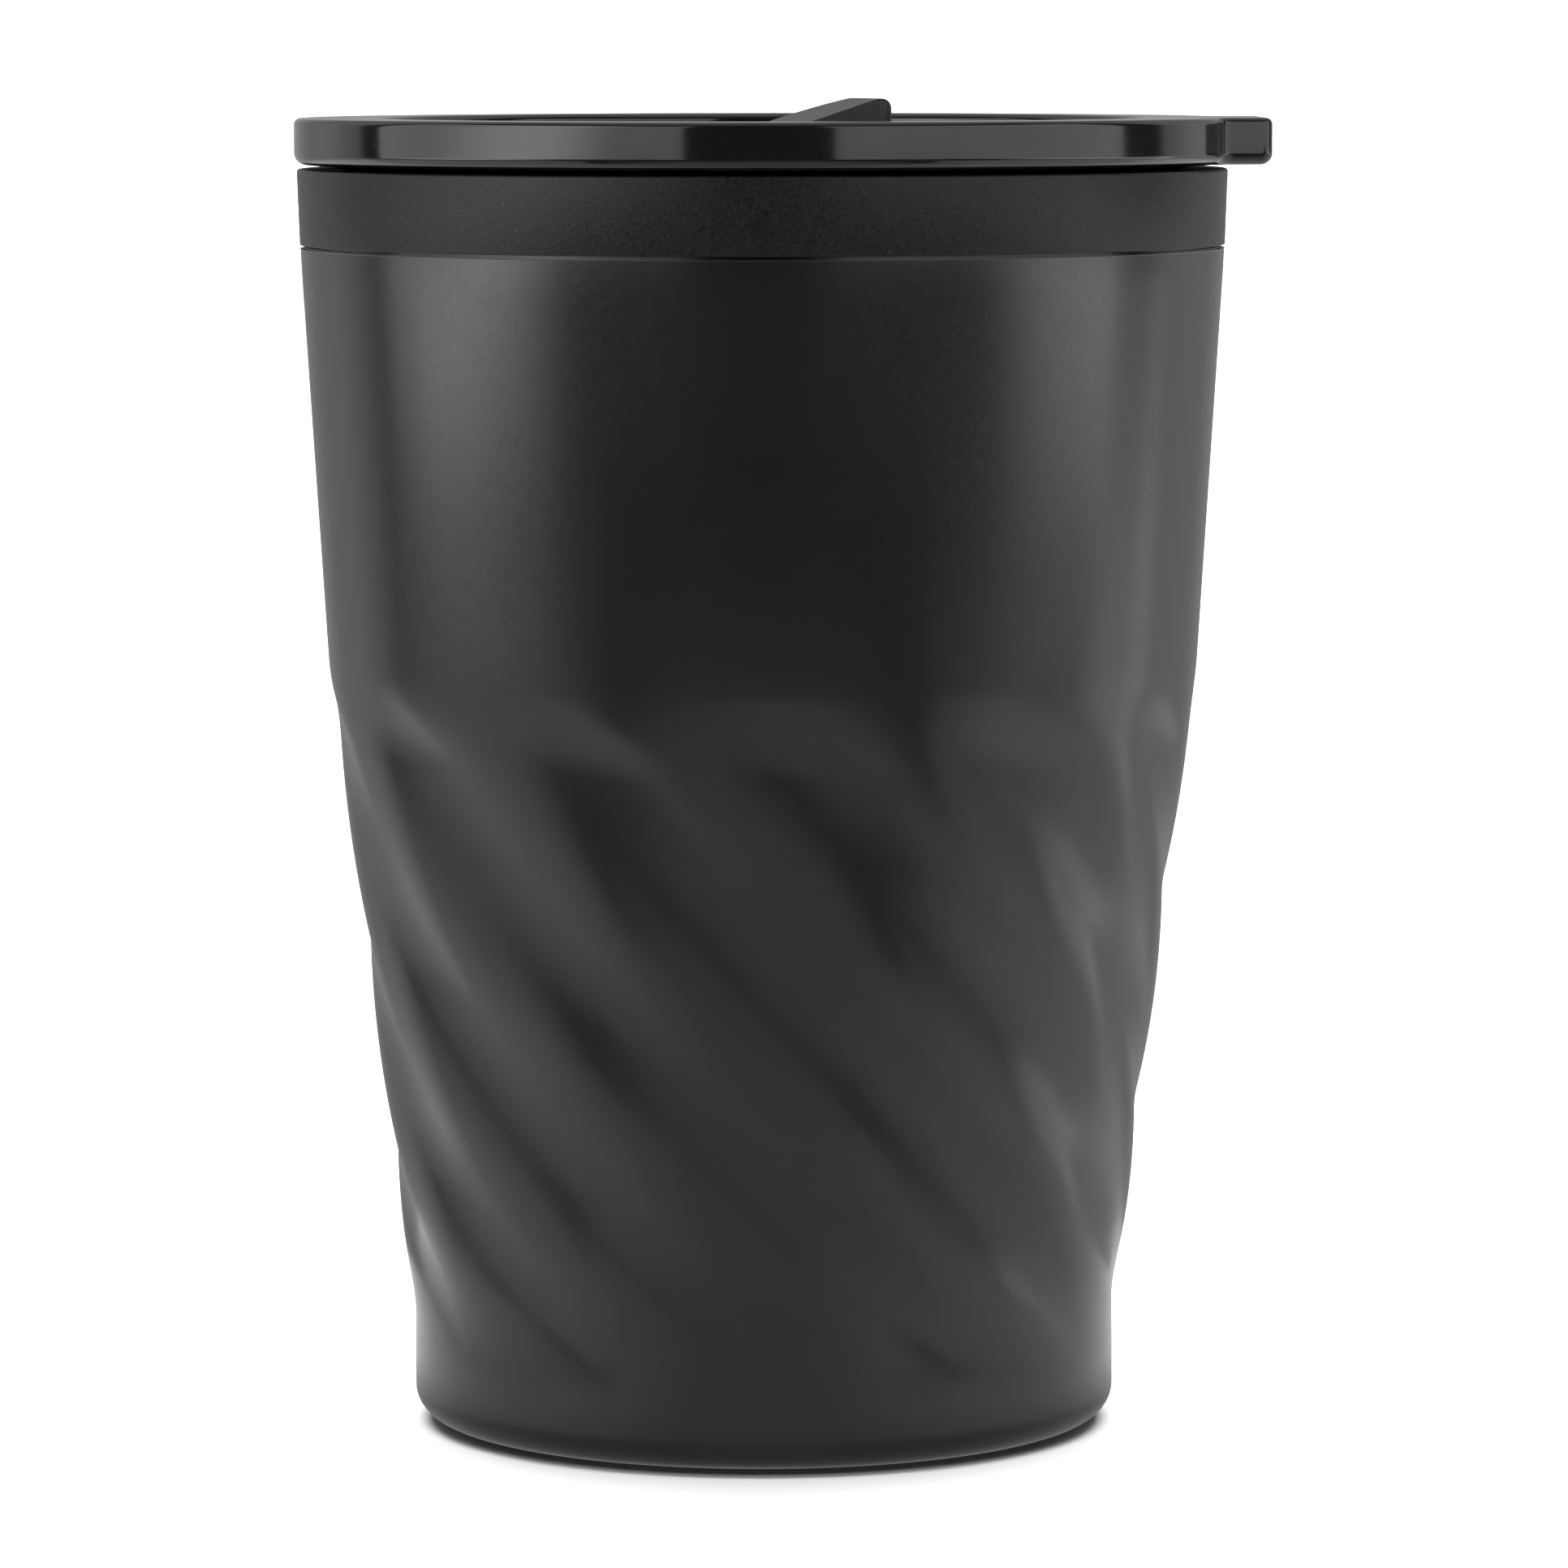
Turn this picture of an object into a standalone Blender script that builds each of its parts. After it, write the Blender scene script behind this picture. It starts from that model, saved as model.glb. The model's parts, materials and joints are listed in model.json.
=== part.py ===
"""Insulated tumbler: a double-wall steel cup with a rim collar, and a press-in lid with a turning closure.

Lengths are in metres and +Z is up. The origin is the middle of the base pad's underside.
+X points at the lid's lift tab, and angles run counter-clockwise from +X, seen from above.
"""

import math

import bmesh
import bpy

MM = 0.001
GAP = 0.3 * MM
MERGE = 0.01 * MM

# Heights of the whole stack
FOOT_Z = 0.5 * MM
SHOULDER_Z = 112.7 * MM
NECK_TOP_Z = 117.2 * MM
STEEL_TOP_Z = 118.2 * MM
COLLAR_TOP_Z = 120.2 * MM
LID_SEAT_Z = 120.6 * MM
RIM_Z = 125.0 * MM

# Outer shell
SHELL_WALL = 0.5 * MM
SHELL_TOP_R = 44.0 * MM
WAIST_R = 41.4 * MM
KNEE_R = 34.65 * MM
BAND_R = 33.6 * MM
NECK_R = 42.7 * MM
WAIST_Z = 71.5 * MM
KNEE_Z = 17.8 * MM
BAND_TOP_Z = 11.4 * MM
FOOT_CORNER_R = 3.0 * MM
FOOT_OPENING_R = 27.5 * MM
SHOULDER_CHAMFER = 0.3 * MM

# Twisted part of the shell: a rounded polygon whose ridges wind round the cup as they go down
FACETS = 12
TWIST_TOP_Z = 73.5 * MM
TWIST_BOTTOM_Z = 7.5 * MM
FADE_IN = 8.0 * MM
FADE_OUT = 11.0 * MM
TWIST_TURN = math.radians(95.5)
TWIST_EASE = 0.22
CORE_SHARE = 0.46
COLUMNS_PER_FACET = 4
TWIST_ROWS = 15

# Inner liner
LINER_WALL = 0.5 * MM
LINER_MOUTH_R = 40.9 * MM
LINER_WAIST_R = 37.2 * MM
LINER_FOOT_R = 28.5 * MM
LINER_CORNER_R = 5.0 * MM
LINER_FLOOR_Z = 11.0 * MM
LINER_NECK_Z = 111.0 * MM
LINER_LIP_ROUND = 0.4 * MM

# Base
BASE_DISH_R = 27.2 * MM
BASE_DISH_INNER_R = 25.4 * MM
BASE_DISH_Z = 3.9 * MM
BASE_DISH_WALL = 0.5 * MM
EVACUATION_HOLE_R = 1.0 * MM
SOLDER_R = 2.2 * MM
SOLDER_CREST_R = 1.6 * MM
SOLDER_DROP = 0.4 * MM
GETTER_R = 4.0 * MM
GETTER_HEIGHT = 1.2 * MM
GETTER_REACH = 12.0 * MM
PAD_R = 24.8 * MM
PAD_HEIGHT = 2.8 * MM
PAD_EDGE = 0.6 * MM

# Rim collar
COLLAR_TOP_R = 44.25 * MM
COLLAR_FOOT_R = 44.0 * MM
COLLAR_BORE_R = 43.0 * MM
COLLAR_LIP = 0.8 * MM
COLLAR_CHAMFER = 0.3 * MM
COLLAR_FOOT_EDGE = 0.1 * MM
COLLAR_SEAL_INSET = 0.6 * MM

# Lid disc
LID_R = 44.5 * MM
LID_TOP_EDGE = 0.6 * MM
LID_FOOT_EDGE = 1.1 * MM
TAB_REACH = 48.0 * MM
TAB_HALF_WIDTH = 10.4 * MM
TAB_CORNER_R = 1.2 * MM
TAB_TAPER = math.radians(11.0)
TAB_ROOT_R = 1.7 * MM
RECESS_R = 36.0 * MM
RECESS_FLOOR_Z = 121.6 * MM
RECESS_RIM_ROUND = 0.8 * MM
SPIGOT_R = 39.9 * MM
SPIGOT_FOOT_Z = 119.9 * MM
SPIGOT_OVERLAP = 0.5 * MM
HUB_R = 5.6 * MM
HUB_BORE_R = 3.4 * MM
HUB_SEAT_R = 4.6 * MM
HUB_SEAT_Z = 119.2 * MM
HUB_RING_TUBE = 0.5 * MM
HUB_FOOT_Z = 117.0 * MM

# Sip slot and vent, which go through the lid disc and the insert
SLOT_INNER_R = 26.8 * MM
SLOT_OUTER_R = 32.8 * MM
SLOT_HALF_ANGLE = math.radians(11.0)
SLOT_AZIMUTH = math.radians(180.0)
VENT_R = 1.2 * MM
VENT_REACH = 29.8 * MM
CHANNEL_WALL = 1.2 * MM
SEAL_GROOVE_MARGIN = 2.0 * MM
SEAL_GROOVE_DEPTH = 0.7 * MM
SEAL_MARGIN = 1.7 * MM
SEAL_HEIGHT = 0.4 * MM
SEAL_OPENING_MARGIN = 0.2 * MM

# Insert under the lid disc
INSERT_R = 39.6 * MM
INSERT_WALL = 1.8 * MM
INSERT_FOOT_Z = 109.0 * MM
INSERT_TOP_Z = 119.6 * MM
INSERT_FLOOR = 1.5 * MM
INSERT_FOOT_CHAMFER = 1.0 * MM
GROOVE_DEPTH = 0.9 * MM
GROOVE_FOOT_Z = 112.2 * MM
GROOVE_TOP_Z = 117.4 * MM
GASKET_WALL = 0.6 * MM
GASKET_LIP_R = 40.6 * MM
GASKET_LIP_INSET = 1.2 * MM
GASKET_LIP_EDGE = 0.2 * MM
GASKET_LIP_RISE = 0.7 * MM
GASKET_LIP_DROP = 0.5 * MM

# Turning closure
CLOSURE_REST = math.radians(18.0)
CLOSURE_OPEN_TURN = math.radians(72.0)
ROTOR_R = 35.6 * MM
ROTOR_FOOT_Z = 121.9 * MM
ROTOR_THICKNESS = 1.2 * MM
ROTOR_EDGE = 0.3 * MM
STEM_R = 3.0 * MM
STEM_FOOT_Z = 116.6 * MM
STEM_HOLE_R = 1.3 * MM
GRIP_WIDTH = 12.0 * MM
GRIP_REACH = 11.4 * MM
GRIP_TOP_Z = 126.8 * MM
GRIP_SLOPE = 0.318
GRIP_TIP_R = 1.0 * MM
GRIP_CORNER_R = 1.6 * MM
GRIP_BACK_R = 8.5 * MM

# Pivot screw and washer
SCREW_HEAD_R = 4.8 * MM
SCREW_HEAD_HEIGHT = 1.6 * MM
SCREW_SHANK_R = 1.0 * MM
SCREW_TIP_DEPTH = 0.5 * MM
SCREW_DRIVE_R = 1.3 * MM
SCREW_DRIVE_DEPTH = 0.9 * MM
WASHER_THICKNESS = 0.4 * MM

ROUND = 48
SMALL_ROUND = 20
PART_NAME = "insulated_tumbler"
CUTTER_NAME = "cutters"


def collection(name):
    """A new collection in the scene."""
    made = bpy.data.collections.new(name)
    bpy.context.scene.collection.children.link(made)
    return made


def material(name, colour, roughness, metallic):
    """A Principled BSDF material."""
    made = bpy.data.materials.new(name)
    made.use_nodes = True
    shader = made.node_tree.nodes["Principled BSDF"]
    shader.inputs["Base Color"].default_value = (*colour, 1.0)
    shader.inputs["Roughness"].default_value = roughness
    shader.inputs["Metallic"].default_value = metallic
    return made


def place(name, mesh, owner, finish=None, z=0.0, parent=None):
    """An object of that mesh in a collection, at height z above its parent's origin."""
    made = bpy.data.objects.new(name, mesh)
    owner.objects.link(made)
    made.location.z = z
    made.parent = parent
    if finish:
        mesh.materials.append(finish)
    return made


def as_cutter(made):
    """Hides an object that only cuts or joins others."""
    made.hide_render = True
    made.display_type = "WIRE"
    return made


def frame_empty(name, owner, z=0.0, turn=0.0):
    """An empty that carries one moving body, on the cup's axis."""
    made = bpy.data.objects.new(name, None)
    owner.objects.link(made)
    made.location.z = z
    made.rotation_euler.z = turn
    return made


def turned_mesh(name, profile, steps, closed):
    """A turned shape: a profile of (radius, height) points, spun about Z and welded."""
    bm = bmesh.new()
    points = [bm.verts.new((r, 0.0, z)) for r, z in profile]
    edges = [bm.edges.new(pair) for pair in zip(points, points[1:])]
    if closed:
        edges.append(bm.edges.new((points[-1], points[0])))
    mesh = bpy.data.meshes.new(name)
    bm.to_mesh(mesh)
    bm.free()
    helper = bpy.data.objects.new(name, mesh)
    bpy.context.scene.collection.objects.link(helper)
    screw = helper.modifiers.new("Screw", "SCREW")
    screw.steps = steps
    screw.render_steps = steps
    screw.use_merge_vertices = True
    screw.merge_threshold = MERGE
    bpy.context.view_layer.update()
    evaluated = helper.evaluated_get(bpy.context.evaluated_depsgraph_get())
    result = bpy.data.meshes.new_from_object(evaluated)
    result.name = name
    bpy.data.objects.remove(helper)
    bpy.data.meshes.remove(mesh)
    return smooth(result)


def smooth(mesh):
    """Faces pointing out, shaded smooth except at real edges."""
    bm = bmesh.new()
    bm.from_mesh(mesh)
    bmesh.ops.recalc_face_normals(bm, faces=bm.faces)
    bm.to_mesh(mesh)
    bm.free()
    mesh.shade_smooth()
    mesh.set_sharp_from_angle(angle=math.radians(35.0))
    return mesh


def ring(name, profile, owner, finish, z=0.0, parent=None, steps=ROUND):
    """A turned piece with a hole along its axis, from a closed profile."""
    return place(name, turned_mesh(name, profile, steps, True), owner, finish, z, parent)


def disc(name, profile, owner, finish=None, z=0.0, parent=None, steps=ROUND):
    """A turned piece whose profile starts and ends on its axis."""
    return place(name, turned_mesh(name, profile, steps, False), owner, finish, z, parent)


def rod(name, radius, foot, top, owner, steps=SMALL_ROUND, finish=None, parent=None):
    """A plain upright cylinder about the Z axis."""
    profile = [(0.0, top), (radius, top), (radius, foot), (0.0, foot)]
    return disc(name, profile, owner, finish, 0.0, parent, steps)


def prism_mesh(name, outline, foot, top):
    """A flat outline extruded upwards from foot to top."""
    bm = bmesh.new()
    face = bm.faces.new([bm.verts.new((x, y, foot)) for x, y in outline])
    raised = bmesh.ops.extrude_face_region(bm, geom=[face])["geom"]
    lifted = [item for item in raised if isinstance(item, bmesh.types.BMVert)]
    bmesh.ops.translate(bm, verts=lifted, vec=(0.0, 0.0, top - foot))
    mesh = bpy.data.meshes.new(name)
    bm.to_mesh(mesh)
    bm.free()
    return smooth(mesh)


def arc(centre, radius, start, end, steps):
    """Points along an arc in a plane, both ends included."""
    angles = [start + (end - start) * i / steps for i in range(steps + 1)]
    return [(centre[0] + radius * math.cos(a), centre[1] + radius * math.sin(a)) for a in angles]


def boolean(target, operation, other):
    """Adds one exact Boolean modifier."""
    modifier = target.modifiers.new(other.name, "BOOLEAN")
    modifier.operation = operation
    modifier.solver = "EXACT"
    modifier.object = other


def kidney_outline(inner, outer, half_angle, azimuth):
    """A slot curved about the Z axis, with round ends."""
    middle = (inner + outer) / 2
    end_r = (outer - inner) / 2
    first = azimuth - half_angle
    last = azimuth + half_angle
    first_end = (middle * math.cos(first), middle * math.sin(first))
    last_end = (middle * math.cos(last), middle * math.sin(last))
    points = arc((0.0, 0.0), outer, first, last, 8)
    points += arc(last_end, end_r, last, last + math.pi, 6)[1:-1]
    points += arc((0.0, 0.0), inner, last, first, 8)
    points += arc(first_end, end_r, first + math.pi, first + 2 * math.pi, 6)[1:-1]
    return points


def kidney(name, grow, foot, top, owner, azimuth=SLOT_AZIMUTH):
    """A cutter in the sip slot's shape, grown by the same amount all round."""
    outline = kidney_outline(SLOT_INNER_R - grow, SLOT_OUTER_R + grow, SLOT_HALF_ANGLE, azimuth)
    return as_cutter(place(name, prism_mesh(name, outline, foot, top), owner))


def post(name, radius, foot, top, owner, reach, azimuth):
    """A small upright cutter cylinder that stands away from the axis."""
    made = as_cutter(rod(name, radius, foot, top, owner, 12))
    made.location.x = reach * math.cos(azimuth)
    made.location.y = reach * math.sin(azimuth)
    return made


def ease(value):
    """A smooth step from 0 to 1."""
    value = min(1.0, max(0.0, value))
    return value * value * (3.0 - 2.0 * value)


def ridge_radius(z):
    """Radius of the shell's outer side along a ridge, which runs straight from one stop to the next."""
    stops = [(BAND_TOP_Z, BAND_R), (KNEE_Z, KNEE_R), (WAIST_Z, WAIST_R), (SHOULDER_Z, SHELL_TOP_R)]
    z = min(max(z, BAND_TOP_Z), SHOULDER_Z)
    for (low_z, low_r), (high_z, high_r) in zip(stops, stops[1:]):
        if z <= high_z:
            return low_r + (high_r - low_r) * (z - low_z) / (high_z - low_z)


def facet_depth(z):
    """How far the facets have formed at a height, from 0 on the round parts to 1."""
    return min(ease((TWIST_TOP_Z - z) / FADE_IN), ease((z - TWIST_BOTTOM_Z) / FADE_OUT))


def ridge_turn(z):
    """The angle that a ridge has wound by the time it is down at a height."""
    down = (TWIST_TOP_Z - z) / (TWIST_TOP_Z - TWIST_BOTTOM_Z)
    down = min(1.0, max(0.0, down))
    return TWIST_TURN * ((1.0 - TWIST_EASE) * down + TWIST_EASE * down * down)


def section_radius(off_ridge, ridge, core):
    """Radius of a rounded polygon at an angle off its nearest ridge."""
    half = math.pi / FACETS
    corner = ridge - core
    turn = math.atan2(corner * math.sin(half), core + corner * math.cos(half))
    if abs(off_ridge) <= turn:
        return core * math.cos(off_ridge) + math.sqrt(corner**2 - (core * math.sin(off_ridge)) ** 2)
    return (core * math.cos(half) + corner) / math.cos(half - abs(off_ridge))


def shell_rows():
    """(height, radius) of each ring of the shell's outer side, top to bottom. No radius means the ridge's."""
    rows = [(NECK_TOP_Z, NECK_R), (SHOULDER_Z, NECK_R)]
    rows += [(SHOULDER_Z, SHELL_TOP_R - SHOULDER_CHAMFER), (SHOULDER_Z - 1.2 * SHOULDER_CHAMFER, None)]
    rows += [((SHOULDER_Z + TWIST_TOP_Z) / 2, None)]
    step = (TWIST_TOP_Z - TWIST_BOTTOM_Z) / TWIST_ROWS
    rows += [(TWIST_TOP_Z - step * i, None) for i in range(TWIST_ROWS + 1)]
    corner = arc((BAND_R - FOOT_CORNER_R, FOOT_Z + FOOT_CORNER_R), FOOT_CORNER_R, 0.0, -math.pi / 2, 4)
    rows += [(z, r) for r, z in corner]
    rows += [(FOOT_Z, FOOT_OPENING_R)]
    return rows


def make_outer_shell(owner, finish, parent):
    """The steel outer wall: one open skin, thickened inwards. Its columns of faces follow the ridges."""
    bm = bmesh.new()
    columns = FACETS * COLUMNS_PER_FACET
    pitch = 2 * math.pi / FACETS
    rings = []
    for z, radius in shell_rows():
        ridge = radius or ridge_radius(z)
        core = 0.0 if radius else CORE_SHARE * ridge * facet_depth(z)
        points = []
        for i in range(columns):
            angle = 2 * math.pi * i / columns
            off_ridge = angle % pitch - pitch / 2
            r = section_radius(off_ridge, ridge, core)
            turn = angle + ridge_turn(z)
            points.append(bm.verts.new((r * math.cos(turn), r * math.sin(turn), z)))
        rings.append(points)
    for upper, lower in zip(rings, rings[1:]):
        for i in range(columns):
            j = (i + 1) % columns
            bm.faces.new((upper[i], lower[i], lower[j], upper[j]))
    mesh = bpy.data.meshes.new("outer_shell")
    bm.to_mesh(mesh)
    bm.free()
    shell = place("outer_shell", smooth(mesh), owner, finish, 0.0, parent)
    solidify = shell.modifiers.new("Wall", "SOLIDIFY")
    solidify.thickness = SHELL_WALL
    solidify.offset = -1.0
    solidify.use_even_offset = True


def make_inner_liner(owner, finish, parent):
    """The drawn steel cup inside, with a lip turned out over the shell's top edge."""
    outer_mouth = LINER_MOUTH_R + LINER_WALL
    corner = (LINER_FOOT_R - LINER_CORNER_R, LINER_FLOOR_Z + LINER_CORNER_R)
    outside = [(0.0, LINER_FLOOR_Z - LINER_WALL)]
    outside += arc(corner, LINER_CORNER_R + LINER_WALL, -math.pi / 2, 0.0, 4)
    outside += [(LINER_WAIST_R + LINER_WALL, WAIST_Z), (outer_mouth, LINER_NECK_Z)]
    outside += [(outer_mouth, STEEL_TOP_Z - LINER_WALL), (NECK_R, STEEL_TOP_Z - LINER_WALL)]
    inside = [(NECK_R, STEEL_TOP_Z), (LINER_MOUTH_R + LINER_LIP_ROUND, STEEL_TOP_Z)]
    inside += [(LINER_MOUTH_R, STEEL_TOP_Z - LINER_LIP_ROUND), (LINER_MOUTH_R, LINER_NECK_Z)]
    inside += [(LINER_WAIST_R, WAIST_Z)]
    inside += arc(corner, LINER_CORNER_R, 0.0, -math.pi / 2, 4)
    inside += [(0.0, LINER_FLOOR_Z)]
    disc("inner_liner", outside + inside, owner, finish, 0.0, parent)


def make_base(owner, steel, glass, pill, rubber, cutters, parent):
    """The dish welded into the foot, the vacuum seal, the getter and the pad under them."""
    wall = BASE_DISH_WALL
    inner = BASE_DISH_INNER_R
    top = BASE_DISH_Z + wall
    profile = [(0.0, top), (inner + wall, top), (inner + wall, FOOT_Z + wall)]
    profile += [(BASE_DISH_R, FOOT_Z + wall), (BASE_DISH_R, FOOT_Z), (inner, FOOT_Z)]
    profile += [(inner, BASE_DISH_Z), (0.0, BASE_DISH_Z)]
    dish = disc("shell_base", profile, owner, steel, 0.0, parent)
    hole = rod("evacuation_hole", EVACUATION_HOLE_R, BASE_DISH_Z - MM, top + MM, cutters)
    boolean(dish, "DIFFERENCE", as_cutter(hole))
    bead_top = BASE_DISH_Z - GAP
    stem_r = EVACUATION_HOLE_R - GAP
    bead = [(0.0, top), (stem_r, top), (stem_r, bead_top), (SOLDER_R, bead_top)]
    bead += [(SOLDER_CREST_R, bead_top - 0.75 * SOLDER_DROP), (0.0, bead_top - SOLDER_DROP)]
    disc("vacuum_seal", bead, owner, glass, 0.0, parent, SMALL_ROUND)
    getter_top = top + GAP + GETTER_HEIGHT
    getter = rod("getter", GETTER_R, top + GAP, getter_top, owner, SMALL_ROUND, pill, parent)
    getter.location.x = GETTER_REACH
    pad = [(0.0, PAD_HEIGHT), (PAD_R, PAD_HEIGHT), (PAD_R, PAD_EDGE), (PAD_R - PAD_EDGE, 0.0), (0.0, 0.0)]
    disc("base_pad", pad, owner, rubber, 0.0, parent)


def make_collar(owner, plastic, rubber, parent):
    """The matte ring that snaps over the steel mouth, and the gasket between them."""
    foot = SHOULDER_Z + GAP
    lip_foot = COLLAR_TOP_Z - COLLAR_LIP
    chamfer = COLLAR_CHAMFER
    edge = COLLAR_FOOT_EDGE
    profile = [(LINER_MOUTH_R + chamfer, COLLAR_TOP_Z), (COLLAR_TOP_R - chamfer, COLLAR_TOP_Z)]
    profile += [(COLLAR_TOP_R, COLLAR_TOP_Z - chamfer), (COLLAR_FOOT_R, foot + edge)]
    profile += [(COLLAR_FOOT_R - edge, foot), (COLLAR_BORE_R, foot), (COLLAR_BORE_R, lip_foot)]
    profile += [(LINER_MOUTH_R, lip_foot), (LINER_MOUTH_R, COLLAR_TOP_Z - chamfer)]
    ring("rim_collar", profile, owner, plastic, 0.0, parent)
    seal_r = LINER_MOUTH_R + COLLAR_SEAL_INSET
    seal_foot = STEEL_TOP_Z + GAP
    seal_top = lip_foot - GAP
    seal = [(seal_r, seal_top), (NECK_R, seal_top), (NECK_R, seal_foot), (seal_r, seal_foot)]
    ring("collar_gasket", seal, owner, rubber, 0.0, parent)


def lid_outline():
    """The lid disc's plan: a circle with the lift tab on +X, which narrows outwards."""
    across, out = math.sin(TAB_TAPER), math.cos(TAB_TAPER)
    side = across * math.sqrt(LID_R**2 - TAB_HALF_WIDTH**2) + out * TAB_HALF_WIDTH
    along = math.sqrt((LID_R + TAB_ROOT_R) ** 2 - (side + TAB_ROOT_R) ** 2)
    root_x = across * (side + TAB_ROOT_R) + out * along
    root_y = out * (side + TAB_ROOT_R) - across * along
    root_angle = math.atan2(root_y, root_x)
    corner_x = TAB_REACH - TAB_CORNER_R
    corner_y = (side - TAB_CORNER_R - across * corner_x) / out
    straight = math.pi / 2 - TAB_TAPER
    half = arc((root_x, root_y), TAB_ROOT_R, straight - math.pi, root_angle - math.pi, 4)
    half = arc((corner_x, corner_y), TAB_CORNER_R, 0.0, straight, 4) + half
    body = arc((0.0, 0.0), LID_R, root_angle, 2 * math.pi - root_angle, ROUND - 4)[1:-1]
    mirrored = [(x, -y) for x, y in half[::-1]]
    return half + body + mirrored


def rounded_slab(name, outline, foot, top, foot_edge, top_edge):
    """An extruded outline with its bottom and top edges rounded by different amounts."""
    mesh = prism_mesh(name, outline, foot, top)
    bm = bmesh.new()
    bm.from_mesh(mesh)
    for height, width in ((top, top_edge), (foot, foot_edge)):
        chosen = [e for e in bm.edges if all(abs(v.co.z - height) < MERGE for v in e.verts)]
        bmesh.ops.bevel(bm, geom=chosen, offset=width, segments=2, profile=0.5, affect="EDGES")
    bm.to_mesh(mesh)
    bm.free()
    return smooth(mesh)


def make_recess_cutter(cutters):
    """The shallow round recess for the closure, whose rim is rounded."""
    above = RIM_Z + MM
    round_r = RECESS_RIM_ROUND
    profile = [(0.0, above), (RECESS_R + round_r, above)]
    profile += arc((RECESS_R + round_r, RIM_Z - round_r), round_r, math.pi / 2, math.pi, 3)
    profile += [(RECESS_R, RECESS_FLOOR_Z), (0.0, RECESS_FLOOR_Z)]
    return as_cutter(disc("recess", profile, cutters))


def make_lid_disc(owner, gloss, cutters, parent):
    """The gloss disc with its tab, recess, spigot, hub, sip slot and vent."""
    seat = LID_SEAT_Z
    mesh = rounded_slab("lid_disc", lid_outline(), 0.0, RIM_Z - seat, LID_FOOT_EDGE, LID_TOP_EDGE)
    lid = place("lid_disc", mesh, owner, gloss, 0.0, parent)
    overlap = seat + SPIGOT_OVERLAP
    spigot = [(0.0, overlap), (SPIGOT_R, overlap), (SPIGOT_R, SPIGOT_FOOT_Z), (HUB_R, SPIGOT_FOOT_Z)]
    spigot += [(HUB_R, HUB_FOOT_Z), (0.0, HUB_FOOT_Z)]
    boolean(lid, "UNION", as_cutter(disc("spigot", spigot, cutters)))
    boolean(lid, "DIFFERENCE", make_recess_cutter(cutters))
    above = RIM_Z + MM
    bore = rod("hub_bore", HUB_BORE_R, HUB_FOOT_Z - MM, above, cutters)
    boolean(lid, "DIFFERENCE", as_cutter(bore))
    ring_seat = rod("hub_ring_seat", HUB_SEAT_R, HUB_SEAT_Z, above, cutters, 24)
    boolean(lid, "DIFFERENCE", as_cutter(ring_seat))
    boolean(lid, "DIFFERENCE", kidney("lid_slot", 0.0, SPIGOT_FOOT_Z - MM, above, cutters))
    vent = post("lid_vent", VENT_R, SPIGOT_FOOT_Z - MM, above, cutters, VENT_REACH, 0.0)
    boolean(lid, "DIFFERENCE", vent)
    groove_foot = RECESS_FLOOR_Z - SEAL_GROOVE_DEPTH
    boolean(lid, "DIFFERENCE", kidney("seal_groove", SEAL_GROOVE_MARGIN, groove_foot, above, cutters))


def make_slot_seal(owner, rubber, cutters, parent):
    """The face seal that lies in a groove round the sip slot and bears on the closure's underside."""
    inner = SLOT_INNER_R - SEAL_MARGIN
    outline = kidney_outline(inner, SLOT_OUTER_R + SEAL_MARGIN, SLOT_HALF_ANGLE, SLOT_AZIMUTH)
    foot = RECESS_FLOOR_Z - SEAL_HEIGHT
    mesh = prism_mesh("slot_seal", outline, foot - LID_SEAT_Z, RECESS_FLOOR_Z - LID_SEAT_Z)
    seal = place("slot_seal", mesh, owner, rubber, 0.0, parent)
    opening = kidney("seal_opening", SEAL_OPENING_MARGIN, foot - MM, RECESS_FLOOR_Z + MM, cutters)
    boolean(seal, "DIFFERENCE", opening)


def make_insert(owner, plastic, cutters, parent):
    """The plug under the disc: a dish with the sip channel and the vent pipe standing in it."""
    seat = LID_SEAT_Z
    foot = INSERT_FOOT_Z - seat
    top = INSERT_TOP_Z - seat
    inner = INSERT_R - INSERT_WALL
    groove_r = INSERT_R - GROOVE_DEPTH
    chamfer = INSERT_FOOT_CHAMFER
    profile = [(0.0, foot + INSERT_FLOOR), (inner, foot + INSERT_FLOOR), (inner, top), (INSERT_R, top)]
    profile += [(INSERT_R, GROOVE_TOP_Z - seat), (groove_r, GROOVE_TOP_Z - seat)]
    profile += [(groove_r, GROOVE_FOOT_Z - seat), (INSERT_R, GROOVE_FOOT_Z - seat)]
    profile += [(INSERT_R, foot + chamfer), (INSERT_R - chamfer, foot), (0.0, foot)]
    insert = disc("lid_insert", profile, owner, plastic, 0.0, parent)
    buried = INSERT_FOOT_Z + 0.5 * INSERT_FLOOR
    pipe = post("vent_wall", VENT_R + CHANNEL_WALL, buried, INSERT_TOP_Z, cutters, VENT_REACH, 0.0)
    bore = post("vent_bore", VENT_R, INSERT_FOOT_Z - MM, INSERT_TOP_Z + MM, cutters, VENT_REACH, 0.0)
    boolean(insert, "UNION", kidney("channel_wall", CHANNEL_WALL, buried, INSERT_TOP_Z, cutters))
    boolean(insert, "UNION", pipe)
    boolean(insert, "DIFFERENCE", kidney("channel", 0.0, INSERT_FOOT_Z - MM, INSERT_TOP_Z + MM, cutters))
    boolean(insert, "DIFFERENCE", bore)


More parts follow.
